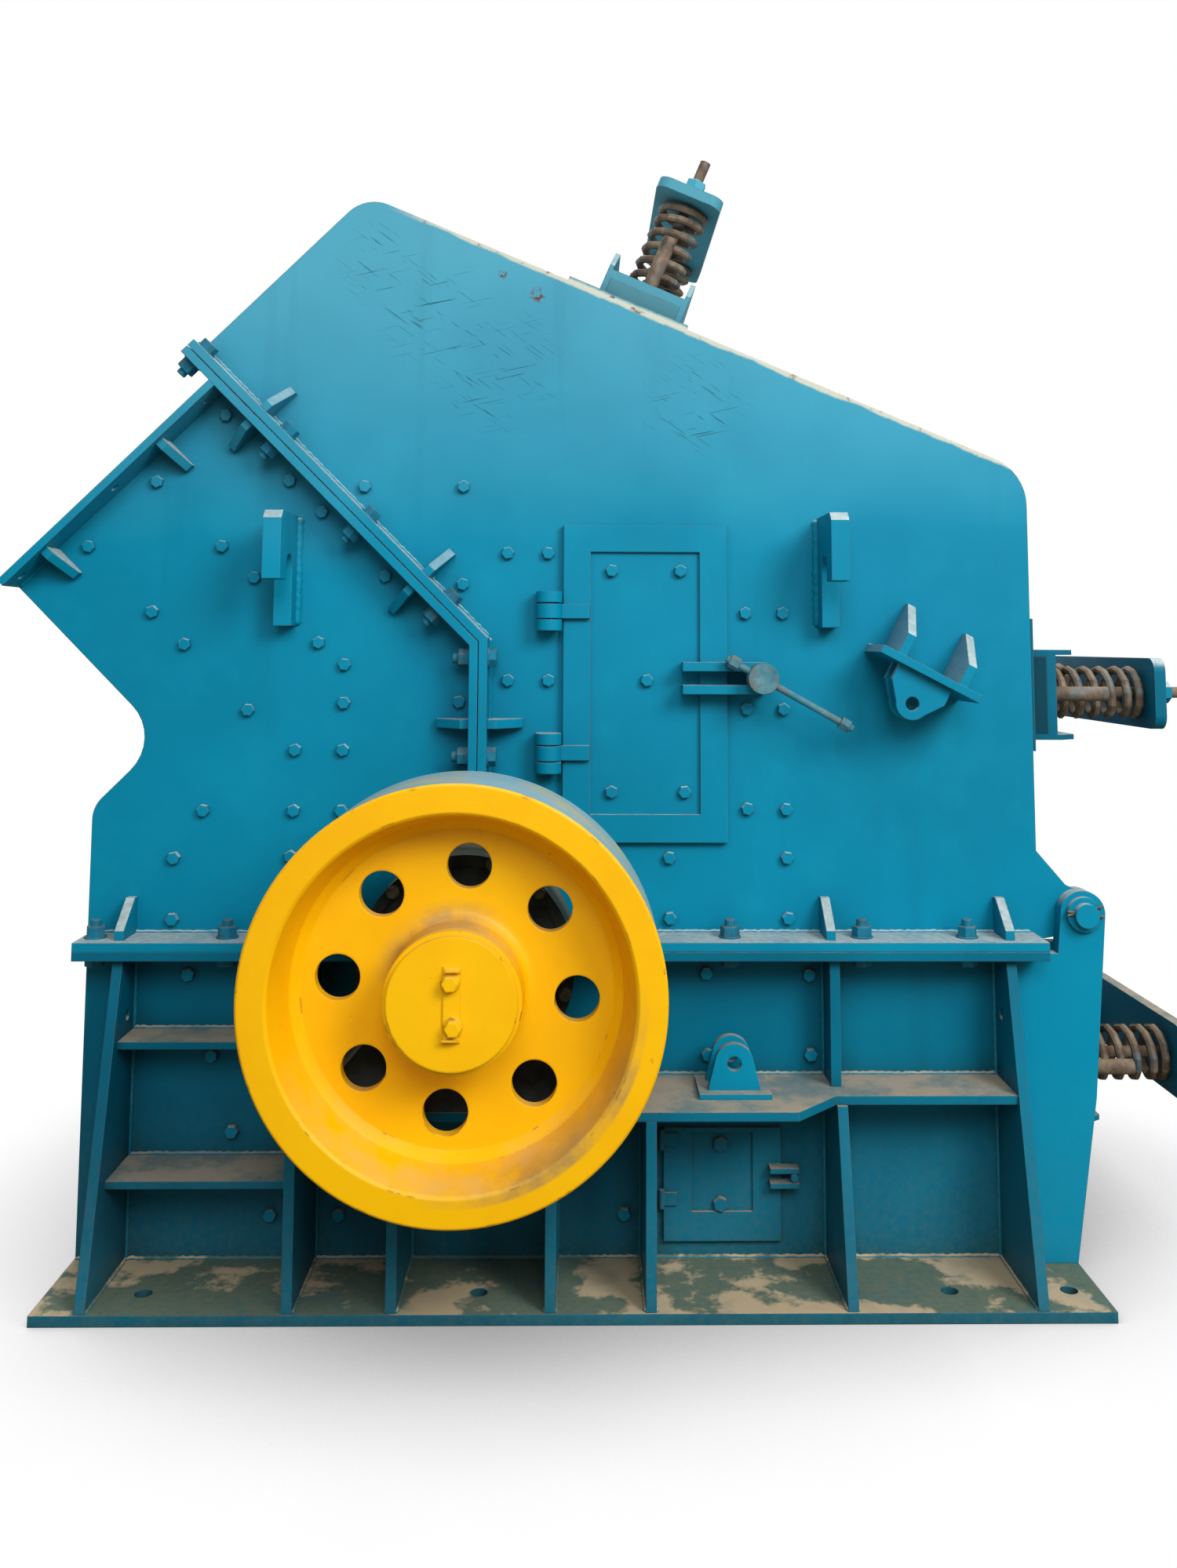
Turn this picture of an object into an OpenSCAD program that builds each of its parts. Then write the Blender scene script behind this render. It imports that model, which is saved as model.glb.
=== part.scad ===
// Impact crusher with a horizontal rotor: lower frame, fixed feed housing,
// rear housing that swings open on two pins, rotor with belt pulley,
// and three pairs of spring rods that hold the impact aprons.
// Millimetres, +Z up. X runs from the feed end to the hinge end.
// The origin is the centre of the base plate, on the floor.
// Side outlines are drawn in X and Z; the near side faces -Y.

/* [Base plate] */
// How far the base plate reaches past the end wall at the feed end
base_front = 2; // [0:1:20]
// How far the base plate reaches past the end wall at the hinge end
base_rear = 62; // [50:1:80]
// Strip of base plate left outside the feet of the ribs
base_edge = 4; // [0:1:20]
// Thickness of the base plate
base_t = 24; // [16:1:32]
// Diameter of the anchor holes
anchor_d = 40; // [24:1:48]
// Distance from the base edge to the line of anchor holes
anchor_inset = 104; // [80:1:130]
// Distances of two anchor holes from the end wall at the feed end
anchor_front = [218, 977]; // [60:1:1000]
// Distances of two anchor holes from the end wall at the hinge end
anchor_rear = [285, 10]; // [0:1:400]
// Ledge left inside the walls round the discharge opening
discharge_ledge = 50; // [20:1:90]

/* [Hull] */
// Gap between the rotor and each side wall
rotor_side = 25; // [15:1:35]
// Thickness of the hull plates
wall_t = 25; // [16:1:28]
// Outer face of the end wall at the feed end
hull_x0 = -1198; // [-1200:1:-1180]
// Outer face of the end wall at the hinge end
hull_x1 = 1138; // [1130:1:1150]
// Height of the split between frame and housings, and of the rotor axis
split_z = 766; // [760:1:776]

/* [Split flange] */
// Thickness of each flange plate
flange_t = 21; // [14:1:26]
// How far the flange stands out from the hull
flange_proj = 125; // [100:1:140]
// End of the flange at the feed end
flange_x0 = -1191; // [-1196:1:-1160]
// End of the flange at the hinge end
flange_x1 = 1124; // [1090:1:1130]
// Gap between the rear housing and what it rests on
seat_gap = 1; // [0.5:0.1:2]

/* [Joint between the housings] */
// Place of the upright stretch of the joint
joint_x = -245; // [-250:1:-235]
// Height of the bend between the upright and the sloping stretch
joint_bend_z = 1498; // [1480:1:1510]
// Thickness of each joint flange
joint_flange_t = 21; // [14:1:26]
// How far the joint flange stands out from the hull
joint_flange_proj = 100; // [80:1:115]
// Gap between the two housings at the joint
joint_gap = 2; // [2:0.5:3]
// Places of the gusset pairs along the slope, from the bend
joint_gusset_s = [211, 788]; // [100:1:900]
// Height of the gusset pair on the upright stretch
joint_gusset_z = 1297; // [1250:1:1350]

/* [Feed mouth] */
// Lower lip of the feed mouth, along the machine
mouth_x = -1416; // [-1430:1:-1400]
// Height of the lower lip
mouth_z = 1643; // [1630:1:1655]
// Thickness of the feed flange
feed_flange_t = 20; // [12:1:25]
// How far the feed flange stands out from the hull
feed_flange_proj = 100; // [80:1:115]
// Diameter of the holes in the feed flange
feed_hole_d = 22; // [14:1:30]
// Places of the holes, measured up the mouth from the lip
feed_hole_s = [37, 349, 661]; // [20:1:690]
// Places of the feed gussets, measured up the mouth from the lip
feed_gusset_s = [126, 510]; // [60:1:640]
// Where the chute floor turns back under the mouth
throat_x = -1030; // [-1040:1:-1020]
// Radius of that turn
throat_r = 112; // [80:1:125]
// Radius where the return slope meets the end wall
knee_r = 75; // [40:1:100]

/* [Rear housing] */
// Distance from the plane of the feed mouth out to the front slope
slope_offset = 100; // [90:1:110]
// Slope of the roof in degrees
roof_angle = 22.8; // [22:0.1:23.5]
// Height of the roof line above the end wall
roof_end_z = 1934; // [1920:1:1945]
// Radius at the top of the roof
apex_r = 95; // [60:1:120]
// Radius where the roof meets the end wall
shoulder_r = 130; // [90:1:150]

/* [Housing hinge] */
// Place of the hinge pins along the machine
pin_x = 1236; // [1230:1:1242]
// Height of the hinge pins
pin_z = 839; // [834:1:844]
// Diameter of the hinge pins
pin_d = 58; // [40:1:64]
// Running clearance of the pin in its bore, on the radius
pin_fit = 0.1; // [0.05:0.01:0.1]
// Radius of the ears round the pins
ear_r = 55; // [50:1:58]
// Radius of the collar on the pin
collar_r = 42; // [40:1:48]
// Thickness of the collar
collar_t = 14; // [8:1:20]
// Thickness of the hinge posts
post_t = 40; // [25:1:45]

/* [Ribs and shelves] */
// Thickness of the ribs
rib_t = 24; // [16:1:28]
// Reach of the ribs on the base plate
rib_foot = 275; // [260:1:279]
// Reach of the sloping ribs at the flange
rib_head = 98; // [80:1:115]
// Middle of each sloping rib that runs to the flange
tall_rib_x = [-1090, 1038]; // [-1150:1:1100]
// Middle of the rib that the shelf crosses
mid_rib_x = 615; // [600:1:640]
// Middle of each straight rib under the bearing shelf
bearing_rib_x = [-637, -408, -57, 167]; // [-700:1:200]
// Height of the top of the bearing shelf
shelf_z = 450; // [440:1:460]
// Thickness of the bearing shelf
shelf_t = 20; // [12:1:25]
// Where the bearing shelf begins to narrow
shelf_narrow_x0 = 498; // [480:1:520]
// Where the bearing shelf has its narrow width
shelf_narrow_x1 = 602; // [580:1:640]
// Reach of the narrow part of the bearing shelf
shelf_narrow = 165; // [140:1:170]
// Height of the tops of the two small shelves at the feed end
step_z = [265, 560]; // [200:1:620]
// Reach of the two small shelves
step_reach = [170, 120]; // [80:1:190]
// Thickness of the small shelves
step_t = 17; // [10:1:24]

/* [Bearings] */
// Radius of the bearing housing
bearing_r = 248; // [240:1:250]
// Distance from the hull to the bearing housing
bearing_gap = 70; // [60:1:80]
// Length of the bearing housing along the shaft
bearing_w = 200; // [160:1:205]
// Radius of the recess in the face of the housing
bearing_recess_r = 222; // [200:1:230]
// Depth of that recess
bearing_recess = 12; // [5:1:30]
// Half length of the foot of the bearing housing
bearing_foot = 300; // [270:1:320]
// Height of the foot
bearing_foot_h = 60; // [40:1:62]
// Gap between the bearing housing and the flange ends
bearing_clear = 16; // [12:1:20]

/* [Rotor] */
// Place of the rotor axis along the machine
rotor_x = -254; // [-256:1:-250]
// Radius over the tips of the blow bars
rotor_r = 625; // [600:1:630]
// Length of the rotor along its axis
rotor_w = 1050; // [1000:1:1080]
// Radius of the rotor discs
disc_r = 545; // [520:1:560]
// Thickness of a rotor disc
disc_t = 60; // [40:1:80]
// Number of rotor discs
disc_count = 5; // [3:1:6]
// Radius of the drum between the discs
drum_r = 240; // [180:1:300]
// Number of blow bars
bar_count = 4; // [3:1:4]
// Thickness of a blow bar
bar_t = 90; // [60:1:110]
// Depth of a blow bar along the radius
bar_depth = 250; // [200:1:280]
// Radius of the shaft inside the hull
shaft_r = 100; // [80:1:110]
// Radius of the shaft in the bearings
journal_r = 80; // [70:1:90]
// Radius of the shaft in the pulley
nose_r = 65; // [50:1:70]
// Clearance round the shaft where it passes the hull
shaft_gap = 20; // [10:1:30]
// Running clearance of the journals, on the radius
journal_fit = 0.05; // [0.02:0.01:0.1]

/* [Pulley] */
// Outer radius of the pulley
pulley_r = 440; // [420:1:445]
// Width of the rim
pulley_w = 290; // [240:2:296]
// Distance from the hull to the front face of the rim
pulley_front = 589; // [585:1:620]
// Inner radius of the rim at its face
rim_inner_r = 375; // [360:1:390]
// Inner radius of the rim at the web
rim_root_r = 352; // [340:1:358]
// Depth of the web behind the face of the rim
web_depth = 132; // [110:1:150]
// Thickness of the web
web_t = 30; // [20:1:40]
// Number of holes in the web
web_holes = 8; // [4:1:10]
// Radius of the web holes
web_hole_r = 48; // [30:1:52]
// Radius of the circle through the web holes
web_hole_pcr = 255; // [245:1:265]
// Radius of the pulley hub
hub_r = 143; // [130:1:150]
// Fillet between the hub and the web
hub_fillet = 24; // [10:1:30]
// How far the hub stands back from the face of the rim
hub_setback = 8; // [0:1:20]
// Radius of the cover disc on the hub
cover_r = 134; // [110:1:138]
// Thickness of the cover disc
cover_t = 12; // [6:1:16]

/* [Lifting lugs] */
// Middle of the front and rear lifting lugs along the machine
lug_x = [-730, 623]; // [-800:1:700]
// Thickness of a lug
lug_t = 44; // [30:1:50]
// Height of the top of the lugs
lug_top_z = 1810; // [1800:1:1830]
// Height of a lug against the hull
lug_h = 275; // [250:1:300]
// Reach of a lug from the hull
lug_reach = 200; // [180:1:220]
// Height of the nose of a lug
lug_nose_h = 165; // [150:1:185]
// Width of the slot in a lug
lug_slot = 70; // [50:1:80]
// Thickness of metal over the slot
lug_crown = 100; // [80:1:110]
// Thickness of the nose outside the slot
lug_nose = 65; // [50:1:80]

/* [Opening cylinders] */
// Distance from the hull to the middle plane of the cylinder clevises
clevis_y = 118; // [105:1:125]
// Gap between the two ears of a clevis
clevis_gap = 50; // [40:1:56]
// Thickness of a clevis ear
clevis_t = 20; // [14:1:24]
// Diameter of the clevis bores
clevis_d = 33; // [24:1:38]
// Lower clevis bore along the machine
low_clevis_x = 366; // [340:1:390]
// Height of the lower clevis bore
low_clevis_z = 522; // [518:1:540]
// Radius round the lower clevis bore
low_clevis_r = 45; // [36:1:52]
// Width of a lower clevis ear at its pad
low_clevis_w = 120; // [100:1:130]
// Height of the straight sides of a lower ear
low_skirt = 6; // [4:1:20]
// Length, width and thickness of the lower clevis pad
low_pad = [168, 146, 12]; // [8:1:180]
// Upper clevis bore along the machine
high_clevis_x = 797; // [785:1:810]
// Height of the upper clevis bore
high_clevis_z = 1353; // [1340:1:1365]
// Radius round the upper clevis bore
high_clevis_r = 39; // [34:1:46]
// Width of an upper clevis ear at its plate
high_clevis_w = 140; // [120:1:150]
// Height of the straight sides of an upper ear
high_skirt = 42; // [20:1:50]
// Distance from the upper bore to the underside of its plate
high_drop = 73; // [60:1:85]
// Thickness of the upper clevis plate
high_plate_t = 20; // [14:1:24]
// Reach of the upper clevis plate from the hull
high_reach = 185; // [175:1:200]
// Reach and height of the small hole in a tall rib
rib_hole = [50, 604]; // [40:1:620]
// Radius of that hole
rib_hole_r = 13; // [8:1:18]
// How far the plate runs down and up the slope from the bore
high_span = [127, 136]; // [100:1:200]
// Slope of an upper cylinder bracket
high_angle = 27.5; // [24:0.1:30]
// Middle of its two gussets, measured along the plate from the bore
high_gusset_mid = 4; // [0:1:10]
// Distance between the two gussets over the plate
high_gusset_gap = 162; // [120:1:180]
// Height of those gussets
high_gusset_h = 136; // [80:1:150]
// Height of the front edge of those gussets
high_gusset_front = 52; // [22:1:70]

/* [Inspection door] */
// Left edge of the door leaf
door_x0 = -39; // [-42:1:-30]
// Right edge of the door leaf
door_x1 = 370; // [350:1:380]
// Bottom edge of the door leaf
door_z0 = 1006; // [1000:1:1015]
// Top edge of the door leaf
door_z1 = 1791; // [1780:1:1800]
// Thickness of the door leaf
door_t = 20; // [14:1:24]
// Overlap of the leaf on the hull round the doorway
door_lap = 40; // [30:1:50]
// Clearance round the plug that fills the doorway
door_fit = 12; // [8:1:16]
// Width of the frame round the sunk panel
door_frame = 68; // [60:1:75]
// Depth of the sunk panel
door_sink = 10; // [5:1:14]
// Gap between the leaf and the hull
door_seat = 0.5; // [0.3:0.1:1]
// Place of the hinge axis along the machine
door_pin_x = -74; // [-80:1:-73]
// Distance of the hinge axis from the hull
door_pin_y = 37; // [36:1:42]
// Heights of the two hinges
door_hinge_z = [1225, 1574]; // [1200:1:1650]
// Radius of the hinge eyes
door_eye_r = 32; // [24:1:32]
// Radius of the hinge pins of the door
door_pin_r = 12; // [8:1:15]
// Height of a hinge with its three eyes
door_hinge_h = 97; // [80:1:110]
// Height of the strap eye
door_eye_h = 36; // [24:1:40]
// Right end of the hinge straps
strap_x1 = 27; // [10:1:40]
// Thickness of the hinge straps
strap_t = 16; // [10:1:20]

/* [Door clamp] */
// Middle of the clamp screw along the machine
clamp_x = 447; // [440:1:460]
// Height of the clamp screw
clamp_z = 1410; // [1400:1:1415]
// Left end of the clamp fork
fork_x0 = 255; // [240:1:300]
// Thickness of each fork plate
fork_t = 22; // [14:1:25]
// Gap between the fork plates
fork_gap = 34; // [28:1:38]
// Reach of the fork from the hull
fork_reach = 80; // [70:1:90]
// Radius of the clamp screw
screw_r = 14; // [10:1:16]
// Radius of the clamp hub
hub_nut_r = 37; // [30:1:40]
// Length of the clamp hub
hub_nut_l = 50; // [40:1:56]
// Radius of the bar through the hub
bar_r = 8.5; // [6:0.5:10]
// Reach of the bar on its long side
bar_long = 240; // [225:1:255]
// Reach of the bar on its short side
bar_short = 92; // [80:1:110]
// Slope of the bar in degrees
bar_angle = -29; // [-36:1:-26]

/* [Lower door] */
// Left edge of the lower door
low_door_x0 = 210; // [208:1:220]
// Right edge of the lower door
low_door_x1 = 493; // [480:1:505]
// Bottom edge of the lower door
low_door_z0 = 66; // [50:1:75]
// Top edge of the lower door
low_door_z1 = 328; // [320:1:340]
// Thickness of the lower door
low_door_t = 14; // [10:1:16]
// Radius of its hinge knuckles
low_knuckle_r = 9; // [8:1:10]
// Heights of its hinges
low_hinge_z = [159, 292]; // [120:1:310]

/* [Spring rods] */
// Thickness of the pad under each spring channel
pad_t = 22; // [12:1:30]
// Reach of the pad to its upper and lower side
pad_span = [195, 140]; // [120:1:210]
// Distance from the ends of the pad to the sides of the hull
pad_inset = 45; // [30:1:60]
// Width over the flanges of the spring channel
channel_w = 231; // [200:1:240]
// Thickness of the channel flanges
channel_flange_t = 13; // [8:1:18]
// Height of the channel flanges over the hull
channel_h = 150; // [135:1:170]
// Underside of the channel web over the hull
web_z = 80; // [60:1:90]
// Thickness of the channel web
channel_web_t = 18; // [10:1:22]
// Thickness of the plates that close the channel ends
channel_cap_t = 12; // [8:1:20]
// Half length of the channel
channel_half = 475; // [450:1:490]
// Length of a spring in place
spring_l = 292; // [270:1:310]
// Outside diameter of a spring
spring_od = 145; // [130:1:150]
// Diameter of the spring wire
spring_wire = 22; // [16:1:24]
// Coils in a spring
spring_coils = 7; // [6:0.5:8]
// Distance of the springs from the middle of the machine
spring_y = 268; // [240:1:290]
// Half length of the end plate
end_plate_half = 390; // [370:1:400]
// Width of the end plate
end_plate_w = 188; // [160:1:200]
// Thickness of the end plate
end_plate_t = 30; // [20:1:36]
// Corner radius of the end plate
end_plate_r = 36; // [20:1:50]
// Radius of the tie rods
rod_r = 15; // [12:1:17]
// Clearance of the tie rods in their holes
rod_gap = 2; // [1:0.5:4]
// Length of rod that stands out past the end plate
rod_tail = 120; // [80:1:140]
// Width of the rod nuts across flats
nut_af = 46; // [40:1:50]
// Height of the rod nuts
nut_h = 26; // [16:1:30]
// Outer radius of the spacer sleeves
sleeve_r = 19; // [14:1:22]
// Bore of the spacer sleeves
sleeve_bore = 13; // [8:1:15]
// Length of the spacer sleeves
sleeve_l = 160; // [120:1:180]
// Distance of the spacer sleeves from the middle of the machine
sleeve_y = 398; // [380:1:420]
// Rod height where the roof unit leaves the roof line, along the machine
roof_unit_x = 143; // [120:1:160]
// Rod height of the wall unit
wall_unit_z = 1366; // [1350:1:1390]
// Rod height of the frame unit
frame_unit_z = 413; // [400:1:440]
// Thickness of the block under the frame unit
frame_block = 36; // [20:1:50]

/* [Aprons] */
// Thickness of the impact aprons
apron_t = 75; // [50:1:90]
// Clearance between the aprons and the side walls
apron_side = 20; // [10:1:30]
// Radius of the apron shafts
apron_shaft_r = 42; // [35:1:50]
// Radius of the bosses that take the tie rods
boss_r = 40; // [30:1:50]

/* [Hidden] */

teal = [0.0, 0.5, 0.64];
deep_teal = [0.02, 0.4, 0.52];
yellow = [0.97, 0.76, 0.02];
rusty = [0.42, 0.36, 0.29];
steel = [0.5, 0.5, 0.5];

inner_w = rotor_w + 2 * rotor_side;
side_y = inner_w / 2 + wall_t;
base_half_w = side_y + rib_foot + base_edge;
base_x0 = hull_x0 - base_front;
base_x1 = hull_x1 + base_rear;
anchor_x = concat([for (d = anchor_front) hull_x0 + d], [for (d = anchor_rear) hull_x1 - d]);
apron_w = inner_w - 2 * apron_side;
axis_z = split_z;
// Seam left between plates that meet at a slant
seat = 0.3;
diag = 1 / sqrt(2);
// Lines at 45 degrees are named by the sum or the difference of Z and X.
floor_sum = mouth_x + mouth_z;
mouth_diff = mouth_z - mouth_x;
slope_diff = mouth_diff + slope_offset / diag;
joint_sum = joint_x + joint_bend_z;
throat_z = floor_sum - throat_x;
knee_z = throat_z - (throat_x - hull_x0);
mouth_len = (joint_sum - floor_sum) * diag;
roof_rise = tan(roof_angle);
apex_x = (roof_end_z + roof_rise * hull_x1 - slope_diff) / (1 + roof_rise);
apex = [apex_x, apex_x + slope_diff];
shoulder = [hull_x1, roof_end_z];
rib_slope = (rib_foot - rib_head) / (split_z - flange_t - base_t);
spring_seat_z = web_z + channel_web_t;
end_plate_z = spring_seat_z + spring_l;
roof_unit = [roof_unit_x, roof_end_z + roof_rise * (hull_x1 - roof_unit_x)];
roof_in = [-sin(roof_angle), -cos(roof_angle)];
shaft_hole_r = shaft_r + shaft_gap;
flange_stop = bearing_r + bearing_clear;
pulley_y = -side_y - pulley_front;
door_way = [door_x0 + door_lap, door_z0 + door_lap, door_x1 - door_lap, door_z1 - door_lap];
low_way_lap = 25;
low_door_way = [low_door_x0 + low_way_lap, low_door_z0 + low_way_lap,
                low_door_x1 - low_way_lap, low_door_z1 - low_way_lap];

// Apron outlines, as [shaft centre, tip] in X and Z.
upper_apron_line = [[-470, 2385], [-85, 1450]];
rear_apron_line = [[395, 1790], [450, 1010]];
frame_apron_line = [[770, 640], [345, 300]];

// Vector helpers
function unit(v) = v / norm(v);
function left_of(v) = [-v[1], v[0]];
function at_angle(a) = [cos(a), sin(a)];
function turn(a, b) = ((b - a + 540) % 360) - 180;

// Points of a round corner of radius r at b, between a and c
function corner(a, b, c, r, n = 8) =
    let (u = unit(a - b), v = unit(c - b), h = acos(u * v) / 2,
         m = b + unit(u + v) * r / sin(h),
         p = b + u * r / tan(h) - m, q = b + v * r / tan(h) - m,
         a0 = atan2(p[1], p[0]), d = turn(a0, atan2(q[1], q[0])))
    [for (i = [0:n]) m + r * at_angle(a0 + d * i / n)];

// A path moved sideways by t, with mitred corners
function beside(path, t) =
    let (n = len(path) - 1, s = [for (i = [0:n - 1]) left_of(unit(path[i + 1] - path[i]))])
    [for (i = [0:n])
        i == 0 ? path[0] + t * s[0] :
        i == n ? path[n] + t * s[n - 1] :
        path[i] + t * (s[i - 1] + s[i]) / (1 + s[i - 1] * s[i])];

function reversed(p) = [for (i = [len(p) - 1:-1:0]) p[i]];
function strip(path, t) = concat(path, reversed(beside(path, t)));

// Solid helpers
module both_sides() {
    children();
    mirror([0, 1, 0]) children();
}

// Extrudes a side outline so that it spans y0 to y1
module across(y0, y1) {
    translate([0, y1, 0]) rotate([90, 0, 0]) linear_extrude(y1 - y0) children();
}

// Extrudes an outline drawn in Y (reach from the hull, outward) and Z,
// on the near side, so that it spans x0 to x1
module off_side(x0, x1) {
    translate([x1, -side_y, 0]) rotate([90, 0, -90]) linear_extrude(x1 - x0) children();
}

// A round bar along Y
module y_bar(x, z, r, y0, y1) {
    translate([x, y1, z]) rotate([90, 0, 0]) cylinder(r = r, h = y1 - y0, $fn = 64);
}

module box(lo, hi) {
    translate(lo) cube(hi - lo);
}

// Base plate with its discharge opening and anchor holes
module base_plate() {
    color(deep_teal) difference() {
        box([base_x0, -base_half_w, 0], [base_x1, base_half_w, base_t]);
        box([hull_x0 + wall_t + discharge_ledge, -inner_w / 2 + discharge_ledge, -1],
            [hull_x1 - wall_t - discharge_ledge, inner_w / 2 - discharge_ledge, base_t + 1]);
        both_sides() for (x = anchor_x)
            translate([x, -base_half_w + anchor_inset, -1]) cylinder(d = anchor_d, h = base_t + 2, $fn = 32);
    }
}

// Rear edge of the lower frame, shared by the side walls and the posts
post_bulge = [1256, 404];
rear_edge = [[base_x1, base_t], post_bulge];

module lower_side_outline() {
    polygon([
        [hull_x0, base_t], rear_edge[0], rear_edge[1],
        [pin_x + ear_r - 16, split_z], [hull_x0, split_z]
    ]);
}

module lower_side(with_door) {
    color(deep_teal) difference() {
        across(-side_y, -side_y + wall_t) lower_side_outline();
        y_bar(rotor_x, axis_z, shaft_hole_r, -side_y - 1, -side_y + wall_t + 1);
        if (with_door)
            box([low_door_way[0], -side_y - 1, low_door_way[1]],
                [low_door_way[2], -side_y + wall_t + 1, low_door_way[3]]);
    }
}

module lower_side_near() {
    lower_side(true);
}

module lower_side_far() {
    mirror([0, 1, 0]) lower_side(false);
}

module lower_end_walls() {
    color(deep_teal) box([hull_x0, -inner_w / 2, base_t], [hull_x0 + wall_t, inner_w / 2, split_z]);
    color(deep_teal) difference() {
        box([hull_x1 - wall_t, -inner_w / 2, base_t], [hull_x1, inner_w / 2, split_z]);
        at_frame_unit() rod_holes(-frame_block - wall_t - 1, 1);
    }
}

// Reach of a sloping rib at height z
function rib_reach(z) = rib_foot - rib_slope * (z - base_t);

module sloping_rib(x, z0, z1) {
    difference() {
        off_side(x - rib_t / 2, x + rib_t / 2)
            polygon([[0, z0], [rib_reach(z0), z0], [rib_reach(z1), z1], [0, z1]]);
        if (z1 > rib_hole[1] + rib_hole_r)
            translate([x - rib_t, -side_y - rib_hole[0], rib_hole[1]]) rotate([0, 90, 0])
                cylinder(r = rib_hole_r, h = 2 * rib_t, $fn = 32);
    }
}

module straight_rib(x, z0, z1, reach) {
    off_side(x - rib_t / 2, x + rib_t / 2) translate([0, z0]) square([reach, z1 - z0]);
}

module ribs() {
    color(deep_teal) {
        under = split_z - flange_t;
        for (x = tall_rib_x) sloping_rib(x, base_t, under);
        sloping_rib(mid_rib_x, base_t, shelf_z - shelf_t);
        straight_rib(mid_rib_x, shelf_z, under, rib_head);
        for (x = bearing_rib_x) straight_rib(x, base_t, shelf_z - shelf_t, rib_foot);
        sloping_rib(bearing_rib_x[0], shelf_z, under);
    }
}

module ribs_near() {
    ribs();
}

module ribs_far() {
    mirror([0, 1, 0]) ribs();
}

// Shelf plates; the bearing shelf runs from the first straight rib to the last tall one
module shelves() {
    x0 = bearing_rib_x[0] - rib_t / 2;
    x1 = tall_rib_x[1] - rib_t / 2;
    color(deep_teal) {
        translate([0, -side_y, shelf_z - shelf_t]) linear_extrude(shelf_t) mirror([0, 1]) polygon([
            [x0, 0], [x0, rib_foot], [shelf_narrow_x0, rib_foot],
            [shelf_narrow_x1, shelf_narrow], [x1, shelf_narrow], [x1, 0]
        ]);
        for (i = [0, 1])
            box([tall_rib_x[0] + rib_t / 2, -side_y - step_reach[i], step_z[i] - step_t],
                [x0, -side_y, step_z[i]]);
    }
}

module shelves_near() {
    shelves();
}

module shelves_far() {
    mirror([0, 1, 0]) shelves();
}

// Flange strips of one level; they stop short of the bearing housings
module flange_strip(x0, x1, z0) {
    both_sides() box([x0, -side_y - flange_proj, z0], [x1, -side_y, z0 + flange_t]);
}

module lower_flanges() {
    color(teal) {
        flange_strip(flange_x0, rotor_x - flange_stop, split_z - flange_t);
        flange_strip(rotor_x + flange_stop, flange_x1, split_z - flange_t);
    }
}

// Posts with the hinge ears and the pins that carry the rear housing
module post_outline() {
    polygon([
        [tall_rib_x[1] + rib_t / 2, base_t], rear_edge[0], rear_edge[1],
        [pin_x + ear_r, pin_z], [pin_x - ear_r, pin_z], [pin_x - ear_r - 9, split_z - flange_t],
        [tall_rib_x[1] + rib_t / 2, split_z - flange_t]
    ]);
}

module hinge_posts() {
    color(teal) both_sides() {
        across(-side_y - post_t, -side_y) post_outline();
        y_bar(pin_x, pin_z, ear_r, -side_y - post_t, -side_y);
        y_bar(pin_x, pin_z, collar_r, -side_y - post_t - collar_t, -side_y - post_t);
        y_bar(pin_x, pin_z, pin_d / 2, -side_y - post_t - collar_t - 20, -side_y + wall_t);
    }
}

// Two ears along Y about the clevis plane, drawn round a bore on the Y axis;
// their sides stand straight for the height of the skirt
module clevis_ears(r, w, h, skirt) {
    for (s = [-1, 1]) {
        y = s > 0 ? clevis_gap / 2 : -clevis_gap / 2 - clevis_t;
        difference() {
            across(y, y + clevis_t) union() {
                circle(r = r, $fn = 64);
                polygon([
                    [-w / 2, -h], [w / 2, -h], [w / 2, skirt - h], [r * cos(20), r * sin(20)],
                    [-r * cos(20), r * sin(20)], [-w / 2, skirt - h]
                ]);
            }
            y_bar(0, 0, clevis_d / 2, y - 1, y + clevis_t + 1);
        }
    }
}

module cylinder_clevises() {
    drop = low_clevis_z - shelf_z;
    color(teal) both_sides() translate([low_clevis_x, -side_y - clevis_y, low_clevis_z]) {
        clevis_ears(low_clevis_r, low_clevis_w, drop - low_pad[2], low_skirt);
        box([-low_pad[0] / 2, -low_pad[1] / 2, -drop], [low_pad[0] / 2, low_pad[1] / 2, low_pad[2] - drop]);
    }
}

module bearing_housings() {
    y0 = -side_y - bearing_gap - bearing_w;
    y1 = -side_y - bearing_gap;
    color(steel) both_sides() difference() {
        union() {
            y_bar(rotor_x, axis_z, bearing_r, y0, y1);
            across(y0, y1) translate([rotor_x, 0]) polygon([
                [-bearing_foot, shelf_z], [bearing_foot, shelf_z], [bearing_foot, shelf_z + bearing_foot_h],
                [bearing_r * cos(35), axis_z - bearing_r * sin(35)],
                [-bearing_r * cos(35), axis_z - bearing_r * sin(35)],
                [-bearing_foot, shelf_z + bearing_foot_h]
            ]);
        }
        y_bar(rotor_x, axis_z, journal_r + journal_fit, y0 - 1, y1 + 1);
        difference() {
            y_bar(rotor_x, axis_z, bearing_recess_r, y0 - 1, y0 + bearing_recess);
            y_bar(rotor_x, axis_z, journal_r + 60, y0 - 2, y0 + bearing_recess + 1);
        }
    }
}

// Path of the joint face, from the slope down to the split, moved by t
// towards the rear housing (t > 0) or the feed housing (t < 0)
function joint_line(diff, z0, t) =
    let (sum = joint_sum + t / diag, x = (sum - diff) / 2, bx = joint_x + t)
    [[x, x + diff], [bx, sum - bx], [bx, z0]];

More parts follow.
